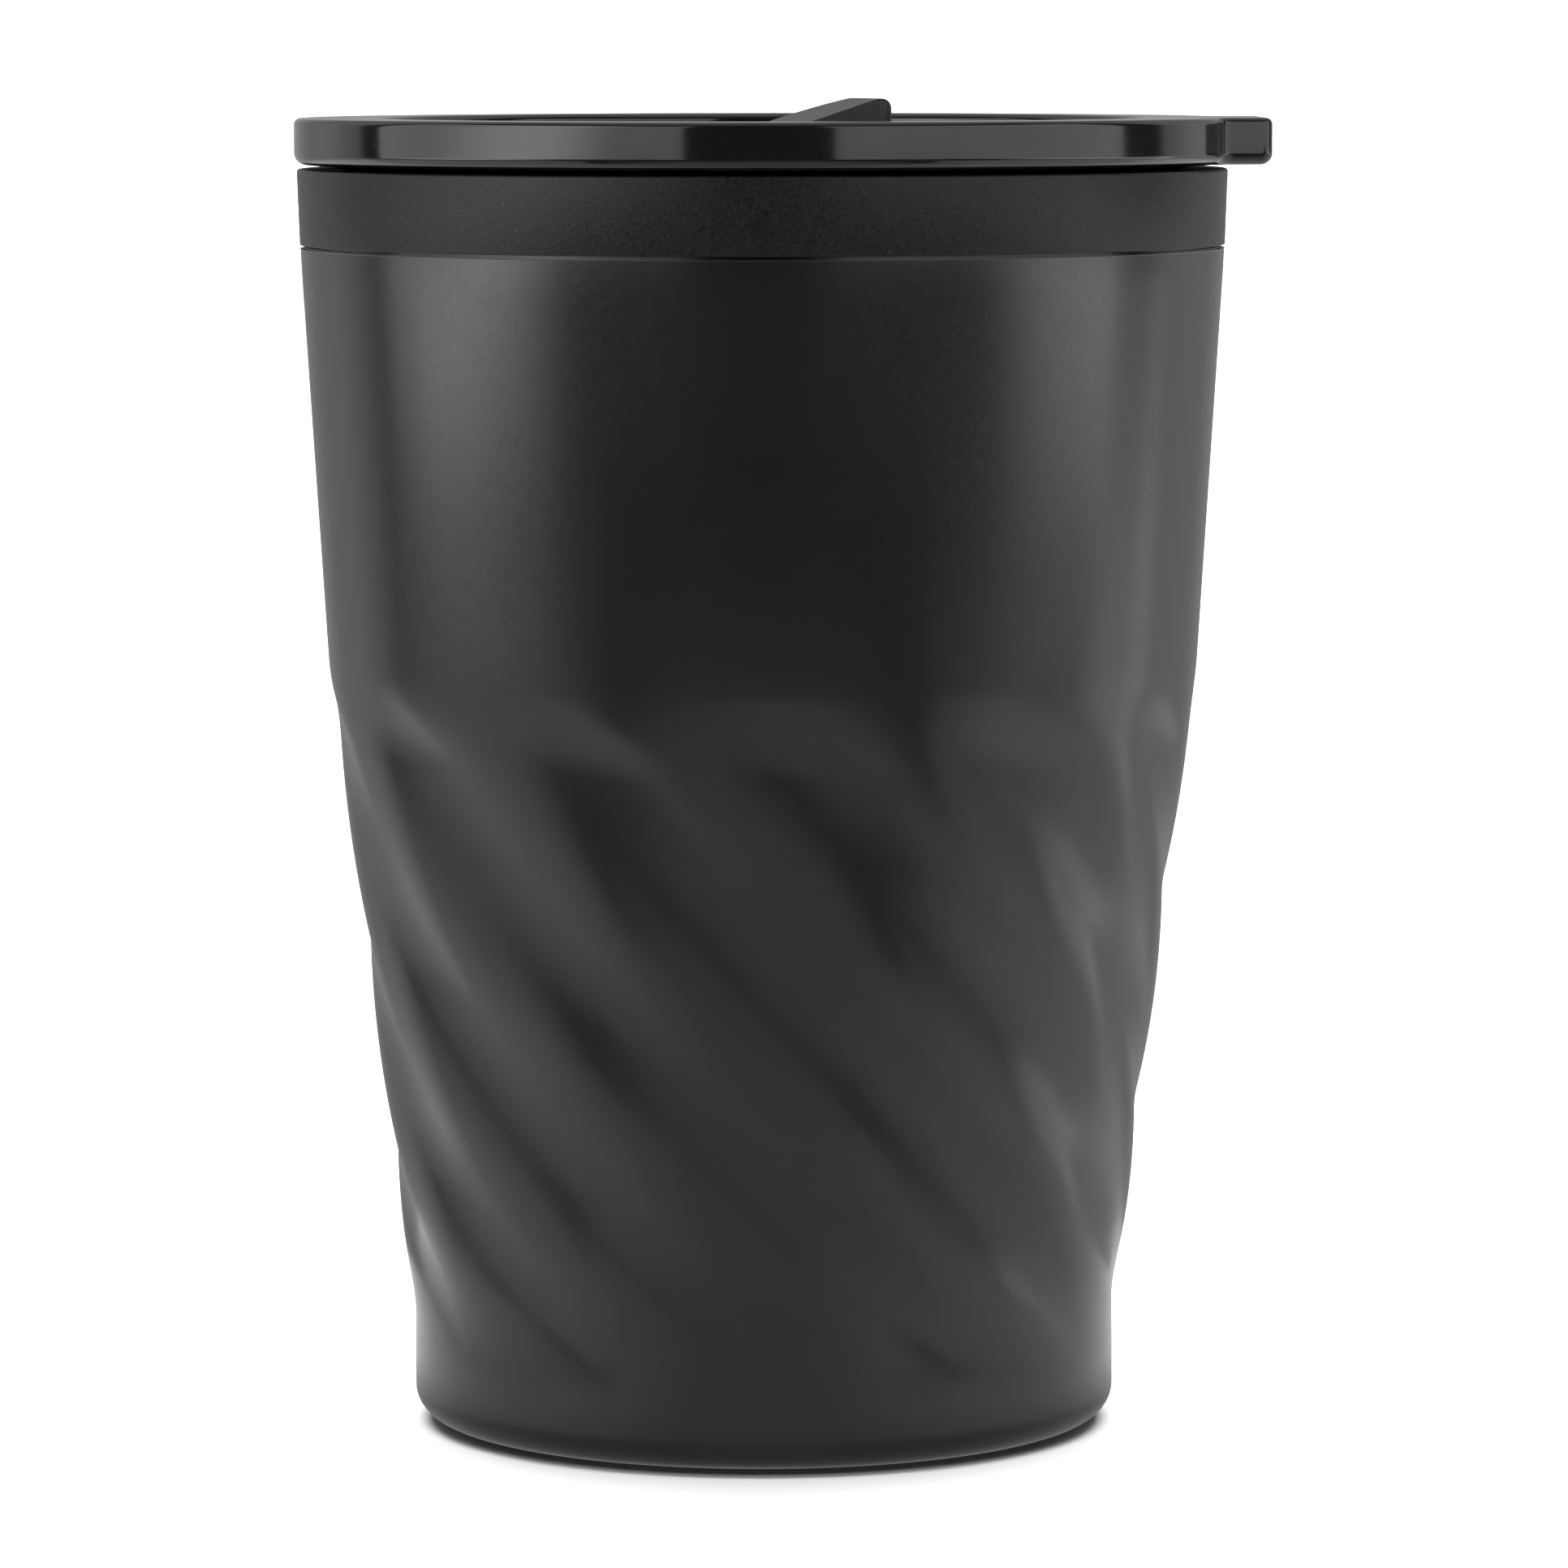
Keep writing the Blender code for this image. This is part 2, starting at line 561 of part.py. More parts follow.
def make_lid_gasket(owner, rubber, parent):
    """The silicone ring in the insert's groove, with two lips that bear on the liner."""
    low = GROOVE_FOOT_Z + GAP - LID_SEAT_Z
    high = GROOVE_TOP_Z - GAP - LID_SEAT_Z
    inner = INSERT_R - GROOVE_DEPTH + GAP
    body_r = inner + GASKET_WALL
    profile = [(inner, high), (body_r, high)]
    for middle in (high - GASKET_LIP_INSET, low + GASKET_LIP_INSET):
        profile += [(body_r, middle + GASKET_LIP_RISE), (GASKET_LIP_R, middle + GASKET_LIP_EDGE)]
        profile += [(GASKET_LIP_R, middle - GASKET_LIP_EDGE), (body_r, middle - GASKET_LIP_DROP)]
    profile += [(body_r, low), (inner, low)]
    ring("lid_gasket", profile, owner, rubber, 0.0, parent)


def make_hub_ring(owner, rubber, parent):
    """The o-ring round the closure's stem, in its seat in the hub's mouth."""
    middle = (STEM_R + HUB_SEAT_R) / 2
    height = HUB_SEAT_Z + GAP + HUB_RING_TUBE - LID_SEAT_Z
    profile = arc((middle, height), HUB_RING_TUBE, math.pi / 8, -7 * math.pi / 4 + math.pi / 8, 7)
    ring("hub_ring", profile, owner, rubber, 0.0, parent, 24)


def grip_outline():
    """The wedge grip's side view, from the foot of its end up, over the rounded tip and down the ramp."""
    top = GRIP_TOP_Z - ROTOR_FOOT_Z
    floor = 0.5 * ROTOR_THICKNESS
    pitch = math.atan(GRIP_SLOPE)
    tip = (GRIP_REACH - GRIP_TIP_R, top - GRIP_TIP_R)
    ramp_x, ramp_z = arc(tip, GRIP_TIP_R, 0.0, math.pi / 2 + pitch, 5)[-1]
    ramp_run = (ramp_z - floor) / GRIP_SLOPE
    points = [(GRIP_REACH + MM, floor), (GRIP_REACH + MM, tip[1])]
    points += arc(tip, GRIP_TIP_R, 0.0, math.pi / 2 + pitch, 5)
    points += [(ramp_x - ramp_run, floor)]
    return points


def grip_plan():
    """The grip seen from above: a flat pushing side with a small corner, and a widely curved back."""
    half = GRIP_WIDTH / 2
    corner = (GRIP_REACH - GRIP_CORNER_R, GRIP_CORNER_R - half)
    back = (GRIP_REACH - GRIP_BACK_R, half - GRIP_BACK_R)
    points = arc(corner, GRIP_CORNER_R, -math.pi / 2, 0.0, 4)
    points += arc(back, GRIP_BACK_R, 0.0, math.pi / 2, 8)
    return points + [(-half, half), (-half, -half)]


def make_grip(cutters):
    """The wedge that joins the closure: its side view pushed across the cup, kept inside its plan."""
    half = GRIP_WIDTH / 2 + MM
    bm = bmesh.new()
    face = bm.faces.new([bm.verts.new((x, half, z)) for x, z in grip_outline()])
    pushed = bmesh.ops.extrude_face_region(bm, geom=[face])["geom"]
    moved = [item for item in pushed if isinstance(item, bmesh.types.BMVert)]
    bmesh.ops.translate(bm, verts=moved, vec=(0.0, -2 * half, 0.0))
    mesh = bpy.data.meshes.new("grip")
    bm.to_mesh(mesh)
    bm.free()
    grip = as_cutter(place("grip", smooth(mesh), cutters))
    plan = prism_mesh("grip_plan", grip_plan(), 0.0, 2 * (GRIP_TOP_Z - ROTOR_FOOT_Z))
    boolean(grip, "INTERSECT", as_cutter(place("grip_plan", plan, cutters)))
    return grip


def make_closure(owner, plastic, cutters, parent):
    """The turning disc with its wedge grip, stem, aperture and vent."""
    top = ROTOR_THICKNESS
    stem_foot = STEM_FOOT_Z - ROTOR_FOOT_Z
    profile = [(0.0, top), (ROTOR_R - ROTOR_EDGE, top), (ROTOR_R, top - ROTOR_EDGE), (ROTOR_R, 0.0)]
    profile += [(STEM_R, 0.0), (STEM_R, stem_foot), (0.0, stem_foot)]
    rotor = disc("closure_rotor", profile, owner, plastic, 0.0, parent)
    boolean(rotor, "UNION", make_grip(cutters))
    swing = CLOSURE_OPEN_TURN + CLOSURE_REST
    boolean(rotor, "DIFFERENCE", kidney("aperture", 0.0, -MM, top + MM, cutters, SLOT_AZIMUTH - swing))
    boolean(rotor, "DIFFERENCE", post("rotor_vent", VENT_R, -MM, top + MM, cutters, VENT_REACH, -swing))
    screw_hole = rod("screw_hole", STEM_HOLE_R, stem_foot - MM, top, cutters, 16)
    boolean(rotor, "DIFFERENCE", as_cutter(screw_hole))


def make_pivot(owner, steel, cutters, parent):
    """The screw under the hub that holds the closure down, and the washer between them."""
    head_top = STEM_FOOT_Z - ROTOR_FOOT_Z - GAP
    head_foot = head_top - SCREW_HEAD_HEIGHT
    head = [(0.0, SCREW_TIP_DEPTH), (SCREW_SHANK_R, SCREW_TIP_DEPTH), (SCREW_SHANK_R, head_top)]
    head += [(SCREW_HEAD_R, head_top), (SCREW_HEAD_R, head_foot + 0.2 * SCREW_HEAD_HEIGHT)]
    head += [(0.8 * SCREW_HEAD_R, head_foot), (0.0, head_foot)]
    screw = disc("pivot_screw", head, owner, steel, 0.0, parent, SMALL_ROUND)
    drive_top = head_foot + SCREW_DRIVE_DEPTH
    drive = rod("screw_drive", SCREW_DRIVE_R, head_foot - MM, drive_top, cutters, 6)
    boolean(screw, "DIFFERENCE", as_cutter(drive))
    inner = STEM_R + GAP
    middle = (HUB_FOOT_Z - ROTOR_FOOT_Z + head_top) / 2
    high = middle + WASHER_THICKNESS / 2
    low = middle - WASHER_THICKNESS / 2
    washer = [(inner, high), (SCREW_HEAD_R, high), (SCREW_HEAD_R, low), (inner, low)]
    ring("spring_washer", washer, owner, steel, 0.0, parent, 24)


def carry(cutters, parent, names):
    """Moves cutters made in a body's own frame along with that body."""
    for name in names:
        cutters.objects[name].parent = parent


def main():
    for obj in list(bpy.data.objects):
        bpy.data.objects.remove(obj)
    owner = collection(PART_NAME)
    cutters = collection(CUTTER_NAME)
    coat = material("satin_black_coat", (0.035, 0.035, 0.036), 0.38, 0.3)
    steel = material("plain_steel", (0.55, 0.55, 0.55), 0.3, 1.0)
    matte = material("matte_black_plastic", (0.03, 0.03, 0.03), 0.6, 0.0)
    gloss = material("gloss_black_plastic", (0.012, 0.012, 0.012), 0.08, 0.0)
    rubber = material("dark_silicone", (0.05, 0.05, 0.05), 0.7, 0.0)
    glass = material("solder_glass", (0.3, 0.3, 0.28), 0.3, 0.0)
    pill = material("getter_metal", (0.25, 0.25, 0.26), 0.6, 1.0)
    cup = frame_empty("cup", owner)
    lid = frame_empty("lid", owner, LID_SEAT_Z)
    closure = frame_empty("closure", owner, ROTOR_FOOT_Z, CLOSURE_REST)
    make_outer_shell(owner, coat, cup)
    make_inner_liner(owner, steel, cup)
    make_base(owner, steel, glass, pill, rubber, cutters, cup)
    make_collar(owner, matte, rubber, cup)
    make_lid_disc(owner, gloss, cutters, lid)
    make_slot_seal(owner, rubber, cutters, lid)
    make_insert(owner, matte, cutters, lid)
    make_lid_gasket(owner, rubber, lid)
    make_hub_ring(owner, rubber, lid)
    make_closure(owner, matte, cutters, closure)
    make_pivot(owner, steel, cutters, closure)
    carry(cutters, closure, ("grip", "grip_plan", "aperture", "rotor_vent", "screw_hole", "screw_drive"))


main()
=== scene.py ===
"""Looks of the insulated tumbler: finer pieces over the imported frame, materials, light and the camera.

Lengths are in metres and +Z is up. +X points at the lid's lift tab, and the camera looks along +Y.
"""

import json
import math

import bmesh
import bpy
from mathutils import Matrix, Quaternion, Vector


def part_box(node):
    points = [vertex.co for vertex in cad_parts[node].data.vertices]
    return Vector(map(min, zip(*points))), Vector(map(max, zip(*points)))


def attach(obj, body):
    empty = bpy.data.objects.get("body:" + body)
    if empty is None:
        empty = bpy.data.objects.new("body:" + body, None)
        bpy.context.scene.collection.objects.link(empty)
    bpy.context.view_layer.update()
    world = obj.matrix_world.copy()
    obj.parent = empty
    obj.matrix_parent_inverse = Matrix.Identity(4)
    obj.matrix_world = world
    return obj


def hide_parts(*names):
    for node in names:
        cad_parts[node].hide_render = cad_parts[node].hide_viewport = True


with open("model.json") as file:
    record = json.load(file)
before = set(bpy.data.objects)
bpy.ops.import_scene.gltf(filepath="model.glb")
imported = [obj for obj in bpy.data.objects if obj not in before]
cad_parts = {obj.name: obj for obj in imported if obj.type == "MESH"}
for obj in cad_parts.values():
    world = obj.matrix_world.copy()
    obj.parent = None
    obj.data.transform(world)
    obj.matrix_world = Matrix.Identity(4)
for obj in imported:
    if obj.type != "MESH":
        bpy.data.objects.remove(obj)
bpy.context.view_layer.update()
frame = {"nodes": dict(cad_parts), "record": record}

MM = 0.001
GAP = 0.3 * MM
MERGE = 0.001 * MM
SHARP_ANGLE = math.radians(35.0)
ROUND = 192
HOLE_STEPS = 64

# Heights and radii that the frame gives
SHELL_LOW, SHELL_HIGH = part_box("outer_shell")
COLLAR_LOW, COLLAR_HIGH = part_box("rim_collar")
LID_LOW, LID_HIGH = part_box("lid_disc")
ROTOR_LOW, ROTOR_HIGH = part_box("closure_rotor")
LINER_LOW, LINER_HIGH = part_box("inner_liner")
PAD_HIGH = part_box("base_pad")[1]
FOOT_Z = SHELL_LOW.z
SHOULDER_Z = COLLAR_LOW.z - GAP
SHELL_TOP_R = SHELL_HIGH.x
LID_R = LID_HIGH.y
RIM_Z = LID_HIGH.z
HUB_FOOT_Z = LID_LOW.z
TAB_REACH = LID_HIGH.x
PAD_R = PAD_HIGH.x
PAD_HEIGHT = PAD_HIGH.z

# Outer shell, as in the CAD apart from a finer shoulder, eased bends and the count of faces
SHELL_WALL = 0.5 * MM
WAIST_R = 41.4 * MM
KNEE_R = 34.65 * MM
BAND_R = 33.6 * MM
NECK_R = 42.7 * MM
WAIST_Z = 71.5 * MM
KNEE_Z = 17.8 * MM
BAND_TOP_Z = 11.4 * MM
FOOT_CORNER_R = 3.0 * MM
FOOT_OPENING_R = 27.5 * MM
SHOULDER_CHAMFER = 0.05 * MM
FACETS = 12
TWIST_TOP_Z = 73.5 * MM
TWIST_BOTTOM_Z = 7.5 * MM
FADE_IN = 8.0 * MM
FADE_OUT = 11.0 * MM
TWIST_TURN = math.radians(95.5)
TWIST_EASE = 0.22
CORE_SHARE = 0.46
COLUMNS_PER_FACET = 24
BEND_EASE = 5.0 * MM
BEND_SAMPLES = 20
TWIST_ROWS = 132
CONE_ROWS = 24

# Inner liner, as in the CAD
LINER_WALL = 0.5 * MM
LINER_MOUTH_R = 40.9 * MM
LINER_WAIST_R = 37.2 * MM
LINER_FOOT_R = 28.5 * MM
LINER_CORNER_R = 5.0 * MM
LINER_FLOOR_Z = LINER_LOW.z + LINER_WALL
LINER_NECK_Z = 111.0 * MM
LINER_LIP_ROUND = 0.4 * MM

# Rim collar, as in the CAD apart from finer edges
COLLAR_TOP_R = COLLAR_HIGH.x
COLLAR_FOOT_R = 44.0 * MM
COLLAR_BORE_R = 43.0 * MM
COLLAR_LIP = 0.8 * MM
COLLAR_TOP_ROUND = 0.3 * MM
COLLAR_FOOT_ROUND = 0.1 * MM

# Lid disc, as in the CAD
LID_SEAT_Z = 120.6 * MM
LID_TOP_EDGE = 0.6 * MM
LID_FOOT_EDGE = 1.1 * MM
TAB_HALF_WIDTH = 10.4 * MM
TAB_CORNER_R = 1.2 * MM
TAB_TAPER = math.radians(11.0)
TAB_ROOT_R = 1.7 * MM
RECESS_R = 36.0 * MM
RECESS_FLOOR_Z = 121.6 * MM
RECESS_RIM_ROUND = 0.8 * MM
SPIGOT_R = 39.9 * MM
SPIGOT_FOOT_Z = 119.9 * MM
SPIGOT_OVERLAP = 0.5 * MM
HUB_R = 5.6 * MM
HUB_BORE_R = 3.4 * MM
HUB_SEAT_R = 4.6 * MM
HUB_SEAT_Z = 119.2 * MM
SLOT_INNER_R = 26.8 * MM
SLOT_OUTER_R = 32.8 * MM
SLOT_HALF_ANGLE = math.radians(11.0)
SLOT_AZIMUTH = math.radians(180.0)
VENT_R = 1.2 * MM
VENT_REACH = 29.8 * MM
SEAL_GROOVE_MARGIN = 2.0 * MM
SEAL_GROOVE_DEPTH = 0.7 * MM

# Turning closure, as in the CAD apart from the grip's rounder tip and edges
CLOSURE_REST = math.radians(18.0)
CLOSURE_OPEN_TURN = math.radians(72.0)
ROTOR_R = 35.6 * MM
ROTOR_FOOT_Z = 121.9 * MM
ROTOR_THICKNESS = 1.2 * MM
ROTOR_EDGE = 0.3 * MM
STEM_R = 3.0 * MM
STEM_HOLE_R = 1.3 * MM
GRIP_WIDTH = 12.0 * MM
GRIP_REACH = 11.4 * MM
GRIP_SLOPE = 0.318
GRIP_TIP_R = 1.5 * MM
GRIP_CORNER_R = 1.6 * MM
GRIP_BACK_R = 8.5 * MM
GRIP_EDGE = 0.3 * MM
GRIP_EDGE_ANGLE = math.radians(30.0)
SEAM_ANGLE = math.radians(5.0)

# Base pad: shallow rings round its middle
PAD_EDGE = 0.6 * MM
PAD_RING_COUNT = 4
PAD_RING_PITCH = 4.2 * MM
PAD_RING_DEPTH = 0.35 * MM
PAD_RING_WIDTH = 1.1 * MM

# Width of the lines that spinning leaves in steel
STEEL_LINE = 0.3 * MM

# Camera
VIEW_DISTANCE = 720.0 * MM
EYE_HEIGHT = 132.5 * MM
AIM_HEIGHT = 61.25 * MM
AXIS_OFFSET = 2.0 * MM
VIEW_WIDTH = 150.5 * MM
CAMERA_ROLL = math.radians(-0.06)
SENSOR_WIDTH = 36.0
CLIP_NEAR = 0.05
CLIP_FAR = 20.0

# Floor and wall
FLOOR_HALF = 3.0
BACKDROP_DISTANCE = 1.6
BACKDROP_SWEEP_R = 0.8
BACKDROP_HEIGHT = 2.4

# Light. Four numbers say where it rises, is full, fades and ends. Two say where it is 0 and where it is full.
# Degrees off the camera's side, either way: TABLE_FRONT, TABLE_SIDES, BOX_FOOT_SIDE, BACK_EDGE, BACK, FLANK.
# Degrees from the camera's side towards +X: BOX_HEART, RIGHT.
# Degrees above the horizon: BELOW, FLANK_EDGE, FLANK_BELOW, RIGHT_EDGE, CEILING.
ROOM_GLOW = 0.07

# Lit table, mirrored by the foot of the cup and the facets
TABLE_GLOW = 0.32
NEAR_TABLE_R = 100.0 * MM
TABLE_R = 420.0 * MM
TABLE_SPREAD = 42.0
TABLE_FRONT = (TABLE_SPREAD, 14.0)
TABLE_ROUND_CUP = (200.0 * MM, 150.0 * MM)
TABLE_FAR = (TABLE_R, 240.0 * MM)
# The cup's shadow on the lit table is painted: the two glows below fade in over the span of reaches between
# them, so the table's glow is weaker round the cup's foot.
SHADOW_FREE_TABLE_GLOW = 0.26
PAINTED_CUP_SHADOW = (34.0 * MM, 60.0 * MM)
TABLE_SIDE_GLOW = 0.4
TABLE_SIDES = (10.0, 55.0)
TABLE_CARD = 0.1 * MM
TABLE_CARD_DEPTH = 0.2 * MM

# Soft boxes, whose feet rise towards the front
BOX_R = 500.0 * MM
BOX_FOOT = 2.0 * MM
BOX_TOP = 600.0 * MM
BOX_STEPS = 48
BOX_GLOW = 1.7
BOX_FOOT_RISE = 1.9 * MM
BOX_FOOT_SIDE = 76.0
BOX_FOOT_MOST = 54.0 * MM
BOX_FOOT_FADE = (12.0 * MM, 52.0 * MM)
BOX_HEART = (-90.0, -56.0, -52.0, -31.0)
BOX_LOW = (18.0 * MM, 40.0 * MM, 50.0 * MM, 80.0 * MM)

# The room round them
BACK_EDGE_GLOW = 0.6
BACK_EDGE = (112.0, 117.0, 126.0, 150.0)
BACK_GLOW = 0.35
BACK = (118.0, 150.0)
BELOW_GLOW = 0.6
BELOW = (-11.0, -20.0)
FLANK = (30.0, 75.0, 100.0, 125.0)
FLANK_EDGE_GLOW = 0.8
FLANK_EDGE = (-16.0, -11.0, -10.5, -8.0)
FLANK_BELOW_GLOW = 0.55
FLANK_BELOW = (-11.0, -16.0)
RIGHT = (90.0, 98.0, 116.0, 126.0)
RIGHT_EDGE_GLOW = 1.3
RIGHT_EDGE = (-16.0, -11.0, -6.5, -4.0)
CEILING_GLOW = 0.5
CEILING = (50.0, 75.0)


# Meshes


def mesh_of(bm, name):
    """A mesh from bm, faces pointing out, shaded smooth except at real edges."""
    bmesh.ops.recalc_face_normals(bm, faces=bm.faces)
    mesh = bpy.data.meshes.new(name)
    bm.to_mesh(mesh)
    bm.free()
    mesh.shade_smooth()
    mesh.set_sharp_from_angle(angle=SHARP_ANGLE)
    return mesh


def place(name, mesh):
    """An object of that mesh in the scene."""
    made = bpy.data.objects.new(name, mesh)
    bpy.context.scene.collection.objects.link(made)
    return made


def turned(name, profile):
    """A mesh turned about Z from (radius, height) points. A point on the axis becomes one vertex."""
    bm = bmesh.new()
    rings = []
    for r, z in profile:
        if r < MERGE:
            rings.append([bm.verts.new((0.0, 0.0, z))])
            continue
        angles = [2 * math.pi * i / ROUND for i in range(ROUND)]
        rings.append([bm.verts.new((r * math.cos(a), r * math.sin(a), z)) for a in angles])
    pairs = list(zip(rings, rings[1:]))
    if len(rings[0]) > 1:
        pairs.append((rings[-1], rings[0]))
    for first, second in pairs:
        for i in range(ROUND):
            j = (i + 1) % ROUND
            corners = [first[i % len(first)], second[i % len(second)]]
            corners += [second[j % len(second)], first[j % len(first)]]
            kept = list(dict.fromkeys(corners))
            if len(kept) > 2:
                bm.faces.new(kept)
    return mesh_of(bm, name)


def pushed(name, outline, offset):
    """A solid mesh: a flat outline of 3-D points, pushed along an offset."""
    bm = bmesh.new()
    face = bm.faces.new([bm.verts.new(point) for point in outline])
    extruded = bmesh.ops.extrude_face_region(bm, geom=[face])["geom"]
    moved = [item for item in extruded if isinstance(item, bmesh.types.BMVert)]
    bmesh.ops.translate(bm, verts=moved, vec=offset)
    return mesh_of(bm, name)


def prism(name, outline, foot, top):
    """A plan outline extruded upwards from foot to top."""
    return pushed(name, [(x, y, foot) for x, y in outline], (0.0, 0.0, top - foot))


def sheet(name, rows):
    """An open surface through rows of points."""
    bm = bmesh.new()
    made = [[bm.verts.new(point) for point in row] for row in rows]
    for near, far in zip(made, made[1:]):
        for i in range(len(near) - 1):
            bm.faces.new((near[i], near[i + 1], far[i + 1], far[i]))
    return mesh_of(bm, name)


def arc(centre, radius, start, end, steps):
    """Points along an arc in a plane, both ends included."""
    angles = [start + (end - start) * i / steps for i in range(steps + 1)]
    return [(centre[0] + radius * math.cos(a), centre[1] + radius * math.sin(a)) for a in angles]


def kidney_outline(inner, outer, half_angle, azimuth):
    """A slot curved about the Z axis, with round ends."""
    middle = (inner + outer) / 2
    end_r = (outer - inner) / 2
    first = azimuth - half_angle
    last = azimuth + half_angle
    first_end = (middle * math.cos(first), middle * math.sin(first))
    last_end = (middle * math.cos(last), middle * math.sin(last))
    points = arc((0.0, 0.0), outer, first, last, 20)
    points += arc(last_end, end_r, last, last + math.pi, 20)[1:-1]
    points += arc((0.0, 0.0), inner, last, first, 20)
    points += arc(first_end, end_r, first + math.pi, first + 2 * math.pi, 20)[1:-1]
    return points


def boolean(target, operation, mesh):
    """Joins or cuts with a mesh, and applies the result. The mesh is then gone."""
    other = mesh if isinstance(mesh, bpy.types.Object) else place("tool", mesh)
    modifier = target.modifiers.new("Boolean", "BOOLEAN")
    modifier.operation = operation
    modifier.solver = "EXACT"
    modifier.object = other
    bake(target)
    bpy.data.objects.remove(other)


def bake(target):
    """Applies an object's modifiers to its mesh."""
    bpy.context.view_layer.update()
    evaluated = target.evaluated_get(bpy.context.evaluated_depsgraph_get())
    made = bpy.data.meshes.new_from_object(evaluated)
    target.modifiers.clear()
    target.data = made


def rod(radius, foot, top, x=0.0, y=0.0):
    """A plain upright cylinder mesh that stands at x, y."""
    return prism("rod", arc((x, y), radius, 0.0, 2 * math.pi, HOLE_STEPS)[:-1], foot, top)


def even_normals(piece):
    """Shades large flat faces flat where they meet rounded edges."""
    piece.modifiers.new("Normals", "WEIGHTED_NORMAL").keep_sharp = True


# Outer shell


def ease(value):
    """A smooth step from 0 to 1."""
    value = min(1.0, max(0.0, value))
    return value * value * (3.0 - 2.0 * value)


def ridge_radius(z):
    """Radius of the shell's outer side along a ridge, with the bends between its straight runs eased."""
    heights = [z + BEND_EASE * (i / BEND_SAMPLES - 0.5) for i in range(BEND_SAMPLES + 1)]
    return sum(straight_radius(height) for height in heights) / len(heights)


def straight_radius(z):
    """Radius along a ridge that runs straight from one stop to the next."""
    stops = [(BAND_TOP_Z, BAND_R), (KNEE_Z, KNEE_R), (WAIST_Z, WAIST_R), (SHOULDER_Z, SHELL_TOP_R)]
    z = min(max(z, BAND_TOP_Z), SHOULDER_Z)
    for (low_z, low_r), (high_z, high_r) in zip(stops, stops[1:]):
        if z <= high_z:
            return low_r + (high_r - low_r) * (z - low_z) / (high_z - low_z)


def facet_depth(z):
    """How far the facets have formed at a height, from 0 on the round parts to 1."""
    return min(ease((TWIST_TOP_Z - z) / FADE_IN), ease((z - TWIST_BOTTOM_Z) / FADE_OUT))


def ridge_turn(z):
    """The angle that a ridge has wound by the time it is down at a height."""
    down = (TWIST_TOP_Z - z) / (TWIST_TOP_Z - TWIST_BOTTOM_Z)
    down = min(1.0, max(0.0, down))
    return TWIST_TURN * ((1.0 - TWIST_EASE) * down + TWIST_EASE * down * down)


def section_radius(off_ridge, ridge, core):
    """Radius of a rounded polygon at an angle off its nearest ridge."""
    half = math.pi / FACETS
    corner = ridge - core
    turn = math.atan2(corner * math.sin(half), core + corner * math.cos(half))
    if abs(off_ridge) <= turn:
        return core * math.cos(off_ridge) + math.sqrt(corner**2 - (core * math.sin(off_ridge)) ** 2)
    return (core * math.cos(half) + corner) / math.cos(half - abs(off_ridge))


def shell_rows():
    """(height, radius) of each ring of the shell's outer side, from the top. None stands for the ridge's."""
    rows = [(SHELL_HIGH.z, NECK_R), (SHOULDER_Z, NECK_R)]
    shoulder = (SHELL_TOP_R - SHOULDER_CHAMFER, SHOULDER_Z - SHOULDER_CHAMFER)
    rows += [(z, r) for r, z in arc(shoulder, SHOULDER_CHAMFER, math.pi / 2, 0.0, 5)]
    cone = SHOULDER_Z - 2 * SHOULDER_CHAMFER - TWIST_TOP_Z
    rows += [(TWIST_TOP_Z + cone * (1 - i / CONE_ROWS), None) for i in range(CONE_ROWS)]
    step = (TWIST_TOP_Z - TWIST_BOTTOM_Z) / TWIST_ROWS
    rows += [(TWIST_TOP_Z - step * i, None) for i in range(TWIST_ROWS + 1)]
    corner = arc((BAND_R - FOOT_CORNER_R, FOOT_Z + FOOT_CORNER_R), FOOT_CORNER_R, 0.0, -math.pi / 2, 12)
    rows += [(z, r) for r, z in corner]
    rows += [(FOOT_Z, FOOT_OPENING_R)]
    return rows


def make_shell():
    """The twisted steel outer wall, in the CAD's own shape with many more faces."""
    bm = bmesh.new()
    columns = FACETS * COLUMNS_PER_FACET
    pitch = 2 * math.pi / FACETS
    rings = []
    for z, radius in shell_rows():
        ridge = radius or ridge_radius(z)
        core = 0.0 if radius else CORE_SHARE * ridge * facet_depth(z)
        points = []
        for i in range(columns):
            angle = 2 * math.pi * i / columns
            r = section_radius(angle % pitch - pitch / 2, ridge, core)
            turn = angle + ridge_turn(z)
            points.append(bm.verts.new((r * math.cos(turn), r * math.sin(turn), z)))
        rings.append(points)
    for upper, lower in zip(rings, rings[1:]):
        for i in range(columns):
            j = (i + 1) % columns
            bm.faces.new((upper[i], lower[i], lower[j], upper[j]))
    shell = place("twisted_shell", mesh_of(bm, "twisted_shell"))
    solidify = shell.modifiers.new("Wall", "SOLIDIFY")
    solidify.thickness = SHELL_WALL
    solidify.offset = -1.0
    return shell


# Other pieces of the cup


